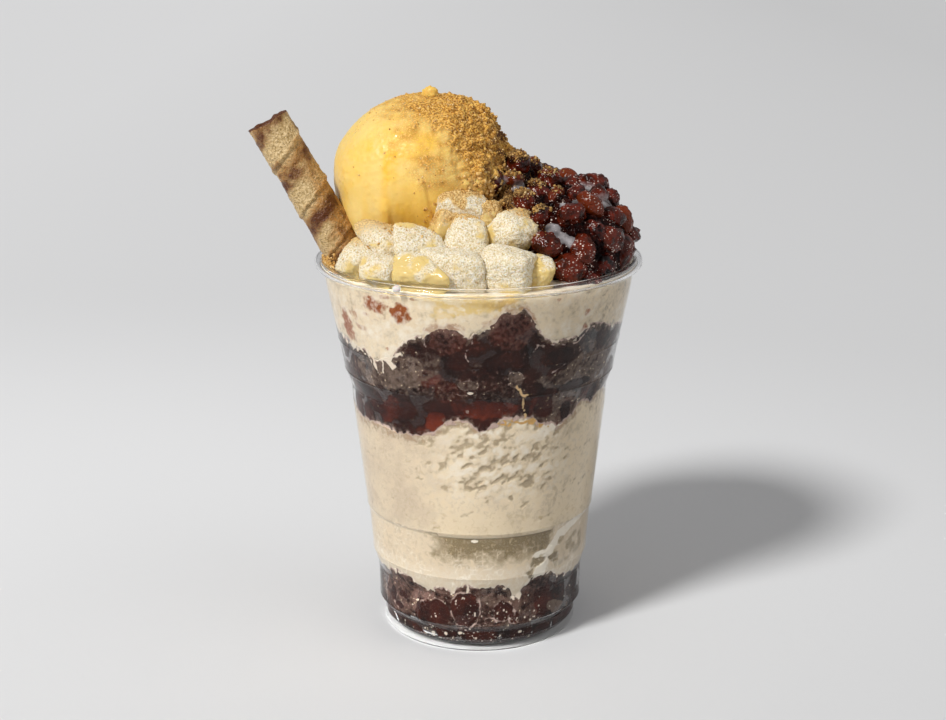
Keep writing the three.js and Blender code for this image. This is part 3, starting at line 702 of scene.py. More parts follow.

# veins of milk that follow the gaps between beans, and the pale outlines of two of them; the last,
# faint line along about 84 mm across the front is a painted highlight of the cup's raised edge
veins = marks(stroke, *crisp, [
    (1, [[-5, 103.6], [-3, 100], [-5, 97.5], [-4, 94.6]], 0.5),
    (1, [[20, 95], [23, 98], [29, 98.4], [35, 97.2], [40, 97.6], [46, 101.5], [52, 100.6]], 0.75),
    (1, [[-20, 97], [-21, 100], [-19, 103]], 0.6), (1, [[24, 88], [34, 90.6], [44, 95]], 0.6),
    (0.45, [[-25, 85], [-12, 83.8], [4, 83.6], [14, 85]], 0.6)])
veins *= ease(cloud(x, y, height, 1.6, 62), -0.5, 0.4)
outlined = marks(spot, *crisp, [
    (1, [-4.5, 87.2], [3.1, 1.9]), (-1, [-4.5, 87.2], [2.6, 1.5]),
    (1, [14.5, 88.5], [2.5, 2.7]), (-1, [14.5, 88.5], [2.0, 2.2])])

# milk ice that has slumped down the wall from above
slump = marks(stroke, torn, wavy, [
    (1, [[-48, 94], [-46.5, 91], [-45, 87.6]], 1.1), (1, [[-44, 93.6], [-39, 92], [-36, 91]], 2.0),
    (1, [[-40, 91.6], [-40.8, 88.4]], 0.9), (1, [[-36, 94], [-31, 95]], 0.9)])
slump += marks(spot, turn, height, [(1, [-3.5, 84.6], [0.8, 0.45]), (0.4, [-5, 78.4], [0.6, 1.0])])
slump *= ease(cloud(x, y, height, 1.0, 63), -0.9, -0.2)
shed = cloud(x, y, height, 1.4, 58) + 0.7 * cloud(x, y, height, 0.7, 57) + 0.55 - below / 2.2
shed = ease(shed, 0.3, 0.7)

# a film of milk over the paste, and a pale band at the left from 83 to 88 mm high, a painted sheen of
# the cup's sloping shoulder
film = marks(spot, torn, wavy, [
    (1, [50, 88], [11, 5.5]), (0.8, [36, 87], [8, 3]), (0.6, [-46, 87], [9, 4.5]),
    (0.6, [-21, 92.5], [5, 4]), (0.85, [38, 77.5], [10, 4.8]), (0.75, [-31, 90], [6, 6]),
    (0.6, [62, 86], [6, 9]), (0.6, [44, 95], [7, 2.5])])
film += marks(spot, *crisp, [(0.7, [14.5, 88.5], [2.2, 2.4]), (0.8, [-4.5, 87.2], [2.9, 1.7])])
film += 0.35 * ease(height, 92, 88) * ease(height, 80, 83) * to_left(turn, 30, 10)
film *= 0.65 + 0.45 * speckled

# beans that stand out: near-black ones, one of clear amber, two peaks of brown paste, and
# ones of a riper red
dark_bean = marks(spot, *crisp, [
    (1, [40.5, 75.6], [1.6, 3.6]), (1, [57, 79], [2.2, 3.6]), (1, [45, 84.4], [5, 1.3]),
    (0.8, [34, 93.6], [6.5, 3.0])])
amber = spot(*crisp, [28, 78.5], [3.0, 3.4])
brown = marks(spot, torn, wavy, [(1, [12.5, 103.5], [6.6, 6.4]), (1, [-13, 100], [5, 4.8])])
near_top = ease(below + 1.2 * speckled, 3.6, 0.2) * brown
ripe = marks(spot, torn, wavy, [
    (0.9, [-20, 74.4], [2.8, 3.2]), (0.8, [5, 79], [8, 2.6]), (0.5, [-20, 88.6], [4, 3]),
    (0.35, [-15, 86], [4, 2.4])])
ripe *= 0.8 + 0.3 * speckled
red_band = ease(height, 83, 80)
free = 1 - np.clip(dark_bean + amber, 0, 1)

creamy = 0.75 * ease(below + 1.2 * speckled, 3.4, 0.4)
creamy += 0.6 * ease(height - upper_line + 1.2 * speckled, 2.4, 0)
fields["frost"] = 0.6 * fields["frost"] * (1 - brown) + film + creamy * (1 - brown)
fields["frost"] = np.clip(fields["frost"], 0, 0.8) * free
fields["haze"] = np.clip(0.25 * brown * (0.8 + 0.4 * speckled) + 0.7 * near_top, 0, 1) * free
fields["bean"] = np.clip(fields["bean"] * (0.45 + 0.55 * red_band) + amber, 0, 1)
fields["bean"] = np.maximum(fields["bean"] * (1 - dark_bean), 0)
fields["tone"] = (0.25 + 0.35 * red_band) * fields["tone"] + ripe + 0.25 * brown
fields["tone"] = np.clip(fields["tone"], 0, 1) * (1 - dark_bean) * (1 - amber)
edge = np.minimum(below + 1.2 * np.clip(brown, 0, 1), height - upper_line)
fields["lace"] = np.clip(fields["lace"] + 0.9 * veins + 0.45 * outlined, 0, 1)
fields["lace"] = np.maximum(fields["lace"], 0.8 * ease(edge + 0.5 * speckled, 1.1, 0.1))
shed *= (1 - 0.85 * np.clip(brown, 0, 1)) * (1 - 0.7 * ease(turn, 34, 42) * ease(turn, 120, 90))
fields["milk"] = np.clip(slump + shed, 0, 1)
soy = marks(stroke, *crisp, [
    (1, [[15, 86.5], [17, 84], [18.6, 82.8], [19, 79], [19.4, 75.4]], 0.9),
    (1, [[22, 83.6], [18.6, 82.8]], 0.8)])
fields["powder"] = np.clip(soy * ease(cloud(x, y, height, 0.8, 66), -0.6, 0.2) + 0.26 * amber, 0, 1)
filling("upper_bean_layer", "beans_upper", turn, height, depth, upper_line, beans_wall,
        fields)

# ---------------------------------------------------------------- the top milk ice
# The last of the shaved ice, heaped over the rim to carry the toppings. Bean syrup has bled
# into it at the left, and it lies in loose snowy flakes where it is open to the air.

# radius and heights of the heaped ice above the rim, and the height where the wall's ice ends
MOUND_EDGE, MOUND_PEAK, MOUND_RADIUS = 114.0, 130.0, 45.0
UNDER_RIM = 113.6


def unevenness(x, y, z, size):
    """A smooth unevenness, at most 1.5 either way: three sines, each bent by another axis."""
    a = np.sin(x / size + 1.7 * np.sin(y / size))
    b = np.sin(y / size * 1.3 + 1.3 * np.sin(z / size) + 2)
    c = np.sin(z / size * 1.1 + 1.5 * np.sin(x / size) + 4)
    return (a + b + c) / 2


def mound_height(x, y):
    """Height of the heaped ice: from its edge to its peak as the 1.2th power of the way in,
    with low lumps that fade out at the edge."""
    inward = np.clip(1 - np.hypot(x, y) / MOUND_RADIUS, 0, 1)
    lump = 0.8 * unevenness(x, y, 0, 7) * np.minimum(3 * inward, 1)
    return MOUND_EDGE + (MOUND_PEAK - MOUND_EDGE) * inward ** 1.2 + lump


rim_line = np.full(len(TURN), UNDER_RIM)
turn, height, x, y = side(top_line - TUCK, rim_line, 60)
# the upper face: the wall's last row drawn in to the axis in 65 steps, on the mound
share = np.linspace(1, 0, 66)[1:, None]
angle = np.radians(TURN)
top_x = (inside_radius(UNDER_RIM) + REACH) * share * np.sin(angle)
top_y = -(inside_radius(UNDER_RIM) + REACH) * share * np.cos(angle)
flakes = cloud(top_x, top_y, 0, 2.2, 81) + 0.5 * cloud(top_x, top_y, 0, 1.0, 82)
top_z = mound_height(top_x, top_y) + 0.5 * flakes * ease(share, 1, 0.93)
top_face = np.stack([top_x, top_y, top_z], -1)
top_face[-1] = top_face[-1, 0]
ragged = cloud(x, y, height, 1.5, 88) + 0.6 * cloud(x, y, height, 0.7, 87)


def bled(middle, half):
    """A soft blotch of syrup: an oval that fades out between 0.6 and 1.35 of its half sizes, and
    whose edge wanders by about a third of them."""
    per_degree = np.radians(1) * MOUND_RADIUS
    far = np.hypot((turn - middle[0]) * per_degree / half[0], (height - middle[1]) / half[1])
    return ease(far + 0.38 * ragged, 1.35, 0.6)


# syrup from the beans: blotches of it, a faint blush at the left, and a seam along the line
bleed = sum(much * bled(m, h) for much, m, h in [
    (0.9, [-41, 108.8], [4.4, 2.3]), (1.0, [-29.5, 107.6], [3.2, 2.7]), (0.6, [-46, 105.4], [1.6, 0.8]),
    (0.8, [-60, 100], [3.0, 4.5]), (0.6, [-37, 96], [0.9, 0.6]), (0.6, [43, 106.4], [1.2, 1.0]),
    (0.7, [7, 111.6], [4.6, 1.7]), (0.5, [-50, 100.8], [3.0, 0.9]), (0.5, [29, 111.6], [0.8, 0.6]),
    (0.8, [43, 101.4], [1.5, 1.3]), (0.5, [-23, 112.4], [1.4, 0.5]), (0.7, [120, 105], [4, 3]),
    (0.45, [-54, 104], [2.4, 1.4]), (0.7, [-170, 107], [5, 3]), (0.5, [-35, 112], [2.2, 0.8])])
faint = 0.22 * ease(cloud(x, y, height, 3, 89) + 0.5 * ragged, 0.1, 0.9) * to_left(turn, -20, -45)
above = height - top_line
seep = bled([12, 108], [9, 5]) + bled([-14, 104], [6, 3])
seep = ease(above + 1.1 * ragged, 2.6, 0) * seep
# melted custard ice cream under the rim, and gaps and pits between the flakes. The gaps, the pits and
# the hollows of the flakes are darkened as painted shade, and so are the left and the right sides
yolk = 0.75 * bled([-1, 111.6], [12, 2.9]) + 0.45 * bled([-13, 108], [3.4, 1.2])
snow = (cloud(x, y, height, 2.4, 90) + 0.7 * cloud(x, y, height, 1.1, 91)
        + 0.5 * cloud(x, y, height, 0.55, 92))
gaps = ease(snow - (above + 0.8 * cloud(x, y, height, 3, 93)) / 1.8, 0.1, 0.7)
gaps *= 1 - np.clip(1.4 * seep, 0, 1)
pits = ease(snow, 0.75, 1.3) * (1 - 0.5 * to_left(turn, 20, 5))
depth = 0.15 * gaps + 0.12 * pits + 0.08 * ease(snow, -0.6, 0.8)
dusted = 0.55 * ease(cloud(top_x, top_y, 0, 1.6, 95), 0.1, 0.7) * ease(top_x, 10, -25)
sides = ice_fields(height, stain=bleed + faint + 0.45 * seep, custard=yolk,
                   cavity=0.42 * ease(snow, 0.0, 1.1) + 0.3 * gaps,
                   blush=0.2 * (ease(turn, -25, -60) + ease(turn, 0, 20)),
                   milk=0.15 * ease(height, 108, 100) + 0.5 * ease(snow, 0.1, -1.0),
                   clear=0.6 * gaps + 0.6 * pits
                   + 0.15 * ease(turn, 25, 55) * ease(np.abs(turn), 110, 80))
tops = ice_fields(top_z, milk=0.4 + 0.5 * flakes, powder=dusted)
filling("top_milk_ice", "ice_upper", turn, height, depth, top_line, ice_wall,
        {n: np.concatenate([sides[n], tops[n]]) for n in sides}, top=top_face)

# ---------------------------------------------------------------- the ice cream
# A ball of custard-yellow ice cream from a round scoop, pressed into the ice at the left. It is
# melting smooth at its lower left, and torn and crumbly at its right, under roasted soy powder.

# the ball's middle and half sizes, how far it leans, and the small peak the scoop left on it
SCOOP_MIDDLE = np.array([-17, 5, 139.4])
SCOOP_HALF = np.array([26.2, 24, 23.6])
SCOOP_LEAN = np.radians(-12.5)
NUB_MIDDLE, NUB_RADIUS = np.array([-14, 3, 163.2]), 2.1


def ball(rows, columns):
    """Directions over a whole ball, rows from its foot to its top, columns all round."""
    rise = np.linspace(-np.pi / 2, np.pi / 2, rows)[:, None]
    around = np.linspace(0, 2 * np.pi, columns, endpoint=False)
    flat = np.cos(rise)
    flat[0] = flat[-1] = 0
    return np.stack([flat * np.cos(around), flat * np.sin(around),
                     np.sin(rise) * np.ones_like(around)], -1)


def crumbs(x, y, z, size, seed):
    """Crumbly heights from 0 to about 1: the size of a smooth random height, so that it is
    rounded on its tops and creased where it passes through nothing, with half-size ones on it."""
    return (np.abs(cloud(x, y, z, size, seed)) + 0.6 * np.abs(cloud(x, y, z, size / 2, seed + 1))
            + 0.3 * np.abs(cloud(x, y, z, size / 4, seed + 2)))


def scoop_places(way):
    """Places on the ball of ice cream in given directions: an egg-shaped ball leaning left, its
    right side ragged by up to 2 mm. Crumbs are laid on it where it is powdered, and where it is
    bare it has low waxy lumps, upright runs of melt and a slumped foot at the left."""
    x, y, z = np.moveaxis(way, -1, 0)
    px, py, pz = x * SCOOP_HALF[0], y * SCOOP_HALF[1], z * SCOOP_HALF[2]
    torn = ease(x, 0.2, 0.9)
    bump = (0.3 + 1.2 * torn) * unevenness(px, py, pz, 4)
    rough = ease(0.95 * x + 0.4 * z + 0.22 * cloud(px, py, pz, 6, 61), 0.02, 0.62)
    bump += rough * (0.2 + 1.7 * torn) * crumbs(px, py, pz, 2.6, 62)
    bump += (0.1 + 0.16 * rough) * cloud(px, py, pz, 1.0, 65) * ease(z, -0.2, 0.5)
    bump += 2.6 * ease(-x, 0.25, 0.8) * ease(z, 0.05, -0.55) * ease(y, 0.7, 0.1)
    sway = px + 0.8 * cloud(px, py, pz, 5, 66)
    melted = (1 - rough) * ease(y, 0.5, -0.1)
    bump += melted * (0.3 * cloud(sway, 0 * py, pz * 0.13, 5, 67) + 0.08 * cloud(px, py, pz, 1.1, 68))
    for middle, high, low in [(1.5, 2, -16), (-9.5, -2, -17)]:
        run = ease(sway, middle + 0.5, middle - 0.7) * ease(sway, middle - 5, middle - 1.5)
        bump += 0.8 * melted * run * ease(pz, high + 2, high - 3) * ease(pz, low - 2, low + 2)
    made = way * (SCOOP_HALF + bump[..., None])
    c, s = np.cos(SCOOP_LEAN), np.sin(SCOOP_LEAN)
    made = np.stack([c * made[..., 0] + s * made[..., 2], made[..., 1],
                     c * made[..., 2] - s * made[..., 0]], -1)
    return made + SCOOP_MIDDLE


way = ball(240, 400)
scoop_grid = scoop_places(way)
x, y, z = np.moveaxis(scoop_grid, -1, 0)
scoop, faces, keep = skin(scoop_grid, tips=(True, True))
# powder lies on the right and the top, and in a fringe round the foot
slant = (0.95 * way[..., 0] + 0.45 * way[..., 2] + 0.26 * cloud(x, y, z, 5, 69)
         + 0.2 * cloud(x, y, z, 1.8, 70))
dust = 0.7 * ease(slant, -0.45, 0.9) ** 1.3
fringe = ease(z - 0.35 * x, 130, 124) * ease(x, -18, -6) * ease(y, 0, -8)
fringe *= ease(cloud(x, y, z, 1.5, 71), -0.6, 0.4)
dust = np.clip(dust + 0.6 * fringe, 0, 1) * ease(z, 116, 122)
# where the melt is thin the custard shows a deeper yellow, in spots and in upright runs
stir = cloud(x, y, z, 4, 72) + 0.6 * cloud(x, y, z, 1.8, 73)
lemon = sum(much * ease(np.hypot((x - u) / wide, (z - v) / tall) + 0.35 * stir, 1.3, 0.5)
            for much, u, v, wide, tall in [
                (0.35, -34, 147.5, 4.6, 3), (0.7, -20, 151, 9.5, 5), (0.5, -25, 144.5, 2, 5),
                (0.35, -18, 133, 11, 10)])
runs = cloud(x + 0.8 * stir, 0 * y, z * 0.14, 3, 77)
lemon += 0.25 * ease(stir, 0.2, 0.9) + 0.28 * ease(runs, 0, 0.8) * ease(z, 150, 142)
lemon *= ease(y, 8, -2)
# syrup from the beans has soaked into the powder at the far right, and its darker brown is also painted
# shade on the ball's shaded right side
syrup_and_shade = way[..., 0] + 0.3 * cloud(x, y, z, 4, 78) + 0.3 * cloud(x, y, z, 1.6, 79)
syrup_and_shade = ease(syrup_and_shade, 0.55, 1.3) * ease(z, 158, 150)
nub_way = ball(24, 34)
nub_bump = 0.7 * crumbs(*np.moveaxis(nub_way * 2.3, -1, 0), 1.3, 74) - 0.3
nub, nub_faces, nub_keep = skin(
    nub_way * (NUB_RADIUS + nub_bump[..., None]) * [1.1, 1, 1.1] + NUB_MIDDLE, tips=(True, True))
both, both_faces = joined([(scoop, faces), (nub, nub_faces)])

# Custard ice cream: satin where it has melted, matt under its powder, and it glows a little
# because light goes some millimetres into it.
custard, tree, shader = finish("custard_ice_cream", IOR=1.4, Subsurface_Weight=0.25,
                               Subsurface_Scale=0.003)
shader.inputs["Subsurface Radius"].default_value = (1.0, 0.7, 0.25)
coords = add(tree, "TexCoord", {})
cream = add(tree, "TexNoise", {"Vector": coords.outputs["Object"], "Scale": 130.0, "Detail": 3.0})
colour = add(tree, "Mix", {0: cream.outputs[0], 6: linear("#EDC562"), 7: linear("#F5D88C")},
             data_type="RGBA").outputs[2]
yellow = add(tree, "Attribute", {}, attribute_name="lemon")
colour = add(tree, "Mix", {0: yellow.outputs["Fac"], 6: colour, 7: linear("#F5BE30")},
             data_type="RGBA").outputs[2]
# powder grains 0.6 mm apart, coarser than the real dust so that they show
grains = add(tree, "TexNoise", {"Vector": coords.outputs["Object"], "Scale": 1700.0, "Detail": 2.0})
roast = add(tree, "ValToRGB", {"Fac": grains.outputs[0]})
roast.color_ramp.elements[0].position = 0.36
roast.color_ramp.elements[0].color = linear("#7A4C1A")
roast.color_ramp.elements[1].position = 0.64
roast.color_ramp.elements[1].color = linear("#F0C068")
roast.color_ramp.elements.new(0.5).color = linear("#C99038")
cover = add(tree, "Attribute", {}, attribute_name="dust")
patchy = add(tree, "Math", {0: grains.outputs[0], 1: cover.outputs["Fac"]}, operation="ADD")
edge = add(tree, "MapRange", {"Value": patchy.outputs[0], "From Min": 0.68, "From Max": 1.04})
colour = add(tree, "Mix", {0: edge.outputs[0], 6: colour, 7: roast.outputs[0]},
             data_type="RGBA").outputs[2]
# the far right is browned, partly by syrup and partly as painted shade
syrup_and_shade_amount = add(tree, "Attribute", {}, attribute_name="syrup_and_shade")
syrup_and_shade_cover = add(tree, "Math", {0: syrup_and_shade_amount.outputs["Fac"], 1: grains.outputs[0]}, operation="ADD")
syrup_and_shade_cover = add(tree, "MapRange", {"Value": syrup_and_shade_cover.outputs[0], "From Min": 0.8, "From Max": 1.3})
colour = add(tree, "Mix", {0: syrup_and_shade_cover.outputs[0], 6: colour, 7: linear("#5E3A1E")},
             data_type="RGBA").outputs[2]
tree.links.new(colour, shader.inputs["Base Color"])
# beads of melt, about 1 mm wide and 3 mm apart, shine where the surface is bare
beaded = add(tree, "TexVoronoi", {"Vector": coords.outputs["Object"], "Scale": 330.0})
bead = add(tree, "MapRange", {"Value": beaded.outputs["Distance"], "From Min": 0.16, "From Max": 0.2,
                              "To Min": 0.1, "To Max": 0.42}).outputs[0]
matt = add(tree, "Mix", {0: edge.outputs[0], 2: bead, 3: 0.9})
tree.links.new(matt.outputs[0], shader.inputs["Roughness"])
level = add(tree, "MapRange", {"Value": edge.outputs[0], "To Min": 0.12, "To Max": 0.45})
grain = add(tree, "Bump", {"Height": grains.outputs[0], "Strength": level.outputs[0],
                           "Distance": 0.0004})
tree.links.new(grain.outputs[0], shader.inputs["Normal"])
piece("ice_cream_ball", both, both_faces, custard, ["scoop"],
      {key: np.concatenate([field.reshape(-1)[keep], np.full(nub_keep.sum(), on_nub)])
       for key, field, on_nub in [("syrup_and_shade", syrup_and_shade, 0.0), ("dust", dust, 0.3), ("lemon", lemon, 0.5)]})

# ---------------------------------------------------------------- the rolled wafer
# A thin waffle ribbon wound hot round a rod into a tube about 12 mm thick, each turn overlapping
# the last. Cocoa in the batter bakes to dark streaks along the ribbon's edges.

# ends and radii of the tube, and how thick the ribbon is and how far apart its turns are
WAFER_FOOT = np.array([-31.7, -5.5, 104.5])
WAFER_TIP = np.array([-61.2, -5.5, 156.7])
WAFER_RADIUS, WAFER_BORE, RIBBON_STEP, RIBBON_PITCH = 6.1, 4.2, 0.42, 15.0

length = np.linalg.norm(WAFER_TIP - WAFER_FOOT)
axis = (WAFER_TIP - WAFER_FOOT) / length
side_way = np.array([0, 1.0, 0])
other_way = np.cross(axis, side_way)
# the profile goes up the outside, over the rounded end and back down the bore
around = np.linspace(0, 2 * np.pi, 128, endpoint=False)
along = np.concatenate([np.linspace(0, length, 200), length + np.array([0.15, 0.1, -0.1]),
                        np.linspace(length - 0.3, 0, 40)])[:, None]
radius = np.concatenate([np.full(200, WAFER_RADIUS), [5.7, 5.2, 4.7], np.full(40, WAFER_BORE)])[:, None]
outside = radius > 6
px, py = 6 * np.cos(around) + 0 * along, 6 * np.sin(around) + 0 * along
# how far across the ribbon each place is, from 0 to 1; the ribbon's edge lies on the next turn
turns = (around / (2 * np.pi) - along / RIBBON_PITCH + 0.035 * cloud(px, py, along, 6, 75)) % 1
puffs = crumbs(px, py, along, 1.8, 76)
lip = np.exp(-((turns - 0.95) / 0.035) ** 2)
lift = RIBBON_STEP * (turns - 0.5) * outside + 0.3 * (puffs - 0.5) + 0.3 * outside * lip
lift += 0.18 * cloud(px, py, along, 5, 79)
chipped = 0.4 * cloud(px, py, 0 * along, 2.0, 80) * ease(along, length - 3, length)
places = (WAFER_FOOT + (along + chipped)[..., None] * axis
          + ((radius + lift) * np.cos(around))[..., None] * other_way
          + ((radius + lift) * np.sin(around))[..., None] * -side_way)
wafer, faces, keep = skin(places, looped=True)
# cocoa along a third of the ribbon's width, toasted amber beside it, and both darker below; the extra
# amber over the lower side that faces the ball is painted shade
blotches = cloud(px, py, along, 3.2, 81) + 0.6 * cloud(px, py, along, 1.4, 82)
lower = ease(along, 42, 8)
streak = np.exp(-((turns - 0.34) / 0.17) ** 2) * (0.66 + 0.45 * blotches + 0.2 * lower)
streak += 0.4 * ease(blotches, 0.4, 0.95) + 0.16 * lower
amber = np.exp(-((turns - 0.28) / 0.24) ** 2) + 0.4 * lip + 0.45 * blotches + 0.45 * lower
amber += 0.7 * ease(np.cos(around), 0.4, -0.8) * ease(along, 56, 30)
# the cut end, and the bore for 8 mm behind it, are darkened to the streaks' brown
cut_end = ease(along, length - 0.3, length + 0.1)
cut_end = cut_end + ease(radius, 5.2, 4.4) * ease(along, length - 8, length)

# Baked wafer: matt, blistered and toasted, with a dry sugar glint on the blisters.
waffle, tree, shader = finish("baked_cocoa_wafer", Roughness=0.38, IOR=1.45)
coords = add(tree, "TexCoord", {})
# blisters 0.6 mm apart
blister = add(tree, "TexNoise", {"Vector": coords.outputs["Object"], "Scale": 1600.0, "Detail": 2.0})
porous = add(tree, "MapRange", {"Value": blister.outputs[0], "From Min": 0.32, "From Max": 0.66})
crumb = add(tree, "Mix", {0: porous.outputs[0], 6: linear("#A4854E"), 7: linear("#EACC98")},
            data_type="RGBA").outputs[2]
toast = add(tree, "Attribute", {}, attribute_name="amber")
browned = add(tree, "Math", {0: toast.outputs["Fac"], 1: blister.outputs[0]}, operation="MULTIPLY")
browned = add(tree, "MapRange", {"Value": browned.outputs[0], "From Min": 0.12, "From Max": 0.58})
toasted = add(tree, "Mix", {0: porous.outputs[0], 6: linear("#7C4612"), 7: linear("#D29A50")},
              data_type="RGBA").outputs[2]
crumb = add(tree, "Mix", {0: browned.outputs[0], 6: crumb, 7: toasted}, data_type="RGBA").outputs[2]
cocoa_amount = add(tree, "Attribute", {}, attribute_name="cocoa")
speckled = add(tree, "Math", {0: cocoa_amount.outputs["Fac"], 1: blister.outputs[0]}, operation="ADD")
cocoa = add(tree, "MapRange", {"Value": speckled.outputs[0], "From Min": 0.6, "From Max": 1.3})
colour = add(tree, "Mix", {0: cocoa.outputs[0], 6: crumb, 7: linear("#5C2E06")},
             data_type="RGBA").outputs[2]
tree.links.new(colour, shader.inputs["Base Color"])
grain = add(tree, "Bump", {"Height": blister.outputs[0], "Strength": 0.8, "Distance": 0.0008})
tree.links.new(grain.outputs[0], shader.inputs["Normal"])
piece("rolled_wafer", wafer, faces, waffle, ["wafer"],
      {"cocoa": np.clip(streak * outside + 1.2 * cut_end, 0, 1).reshape(-1)[keep],
       "amber": np.clip(amber, 0, 1).reshape(-1)[keep]})

# ---------------------------------------------------------------- the rice cakes
# Soft steamed rice cakes cut into bite-sized chunks and rolled in starch, so they stay
# separate. Where milk has wetted the starch the pale yellow dough shows through.

# middle, half sizes, turn about Z and tilt about X in degrees, and the share wetted through
RICE_CAKES = [
    ([-32.4, -25, 119.2], [7.2, 5.4, 4.6], 25, 25, 0.42),
    ([-27, -34.7, 118.5], [5.2, 5, 4], -15, 10, 0.4),
    ([-25.6, -25.0, 123.2], [4.9, 4.6, 4.6], 20, 20, 0.15),
    ([-16.2, -29.6, 122.8], [6.2, 5.0, 5.2], 10, 25, 0.45),
    ([-17.2, -38, 119.0], [6.8, 4.8, 5.0], -20, 15, 0.85),
    ([-4.7, -15.4, 132.4], [7.8, 5.8, 5.2], 6, 18, 0.0),
    ([-2.9, -27, 125.4], [5.6, 5.2, 6.6], -10, -10, 0.1),
    ([-9.4, -19.4, 126.2], [4.6, 4.6, 5.4], 15, 0, 0.8),
    ([-6.9, -38.2, 119.2], [6.9, 5.4, 5.6], 5, 5, 0.05),
    ([10.8, -24.4, 126], [8.2, 5.8, 6.4], 25, 15, 0.4),
    ([7.9, -37.6, 119.3], [7.0, 5.6, 5.8], -8, 10, 0.15),
    ([2.2, -17.4, 127.6], [4.8, 4.4, 5.4], 30, 0, 0.9),
    ([15.6, -34.8, 117.4], [4.6, 4.4, 4.2], 10, 10, 0.7)]
# below the rim's top a cake keeps within the rim's inside; above it there is room for all
RIM_TOP, INSIDE_RIM, OVER_RIM = 116.9, 45.6, 60

# Starched rice cake: a dry, matt, near-white coat on soft dough that light goes into, and glossy,
# smoother and yellower where the coat is soaked.
starched, tree, shader = finish("starched_rice_cake", IOR=1.45, Subsurface_Weight=0.25,
                                Subsurface_Scale=0.003)
shader.inputs["Subsurface Radius"].default_value = (1.0, 0.8, 0.5)
coords = add(tree, "TexCoord", {})
# starch grains clump to 0.5 mm
flour = add(tree, "TexNoise", {"Vector": coords.outputs["Object"], "Scale": 2000.0, "Detail": 3.0})
coat = add(tree, "ValToRGB", {"Fac": flour.outputs[0]})
coat.color_ramp.elements[0].position = 0.34
coat.color_ramp.elements[0].color = linear("#CCB47E")
coat.color_ramp.elements[1].position = 0.62
coat.color_ramp.elements[1].color = linear("#F8F0DE")
coat.color_ramp.elements.new(0.46).color = linear("#E5D5B2")
wet = add(tree, "Attribute", {}, attribute_name="wet")
soy = add(tree, "Attribute", {}, attribute_name="dust")
thin_coat = add(tree, "Math", {0: wet.outputs["Fac"], 1: flour.outputs[0]}, operation="ADD")
soaked = add(tree, "MapRange", {"Value": thin_coat.outputs[0], "From Min": 0.84, "From Max": 1.1})
colour = add(tree, "Mix", {0: soaked.outputs[0], 6: coat.outputs[0], 7: linear("#E0C47E")},
             data_type="RGBA").outputs[2]
dusty = add(tree, "Math", {0: soy.outputs["Fac"], 1: flour.outputs[0]}, operation="ADD")
dusty = add(tree, "MapRange", {"Value": dusty.outputs[0], "From Min": 0.85, "From Max": 1.05})
grainy = add(tree, "MapRange", {"Value": flour.outputs[0], "From Min": 0.35, "From Max": 0.62})
tan = add(tree, "Mix", {0: grainy.outputs[0], 6: linear("#A4732C"), 7: linear("#F1D090")},
          data_type="RGBA").outputs[2]
colour = add(tree, "Mix", {0: dusty.outputs[0], 6: colour, 7: tan}, data_type="RGBA").outputs[2]
tree.links.new(colour, shader.inputs["Base Color"])
sheen = add(tree, "MapRange", {"Value": soaked.outputs[0], "To Min": 0.9, "To Max": 0.15})
tree.links.new(sheen.outputs[0], shader.inputs["Roughness"])
dry = add(tree, "MapRange", {"Value": soaked.outputs[0], "To Min": 0.7, "To Max": 0.05})
grain = add(tree, "Bump", {"Height": flour.outputs[0], "Strength": dry.outputs[0], "Distance": 0.0009})
tree.links.new(grain.outputs[0], shader.inputs["Normal"])


def rice_cake(middle, half, turn, tilt, rows, columns, seed):
    """Places on a rice cake: a chunk between 10 soft cuts. Along each direction d it goes out
    to 1.04 / (sum of max(0, n.d / far)^6)^(1/6) over the cuts' normals n and distances,
    stretched to its half sizes, tilted about X, turned about Z, and held back from the rim."""
    random = np.random.default_rng(seed)
    way = ball(rows, columns)
    cuts = np.concatenate([np.eye(3), -np.eye(3), random.normal(size=(4, 3))])
    cuts += random.normal(size=cuts.shape) * 0.22
    cuts /= np.linalg.norm(cuts, axis=1, keepdims=True)
    far = np.concatenate([random.uniform(0.92, 1.08, 6), random.uniform(0.98, 1.2, 4)])
    spread = 1.04 * (np.maximum(way @ cuts.T / far, 0) ** 6).sum(-1) ** (-1 / 6)
    made = way * spread[..., None] * half
    px, py, pz = np.moveaxis(made, -1, 0) + np.array(middle)[:, None, None]
    crust = (0.16 * cloud(px, py, pz, 0.7, 82) + 0.2 * cloud(px, py, pz, 1.9, 83)
             + 0.34 * crumbs(px, py, pz, 1.4, 84) + 0.4 * cloud(px, py, pz, 4.5, 85))
    made = made + way * crust[..., None]
    c, s = np.cos(np.radians(tilt)), np.sin(np.radians(tilt))
    made = made @ np.array([[1, 0, 0], [0, c, -s], [0, s, c]]).T
    c, s = np.cos(np.radians(turn)), np.sin(np.radians(turn))
    made = made @ np.array([[c, -s, 0], [s, c, 0], [0, 0, 1]]).T + middle
    out = np.hypot(made[..., 0], made[..., 1])
    most = np.where(made[..., 2] < RIM_TOP, INSIDE_RIM, OVER_RIM)
    made[..., :2] *= np.minimum(1, most / np.maximum(out, 1))[..., None]
    return made


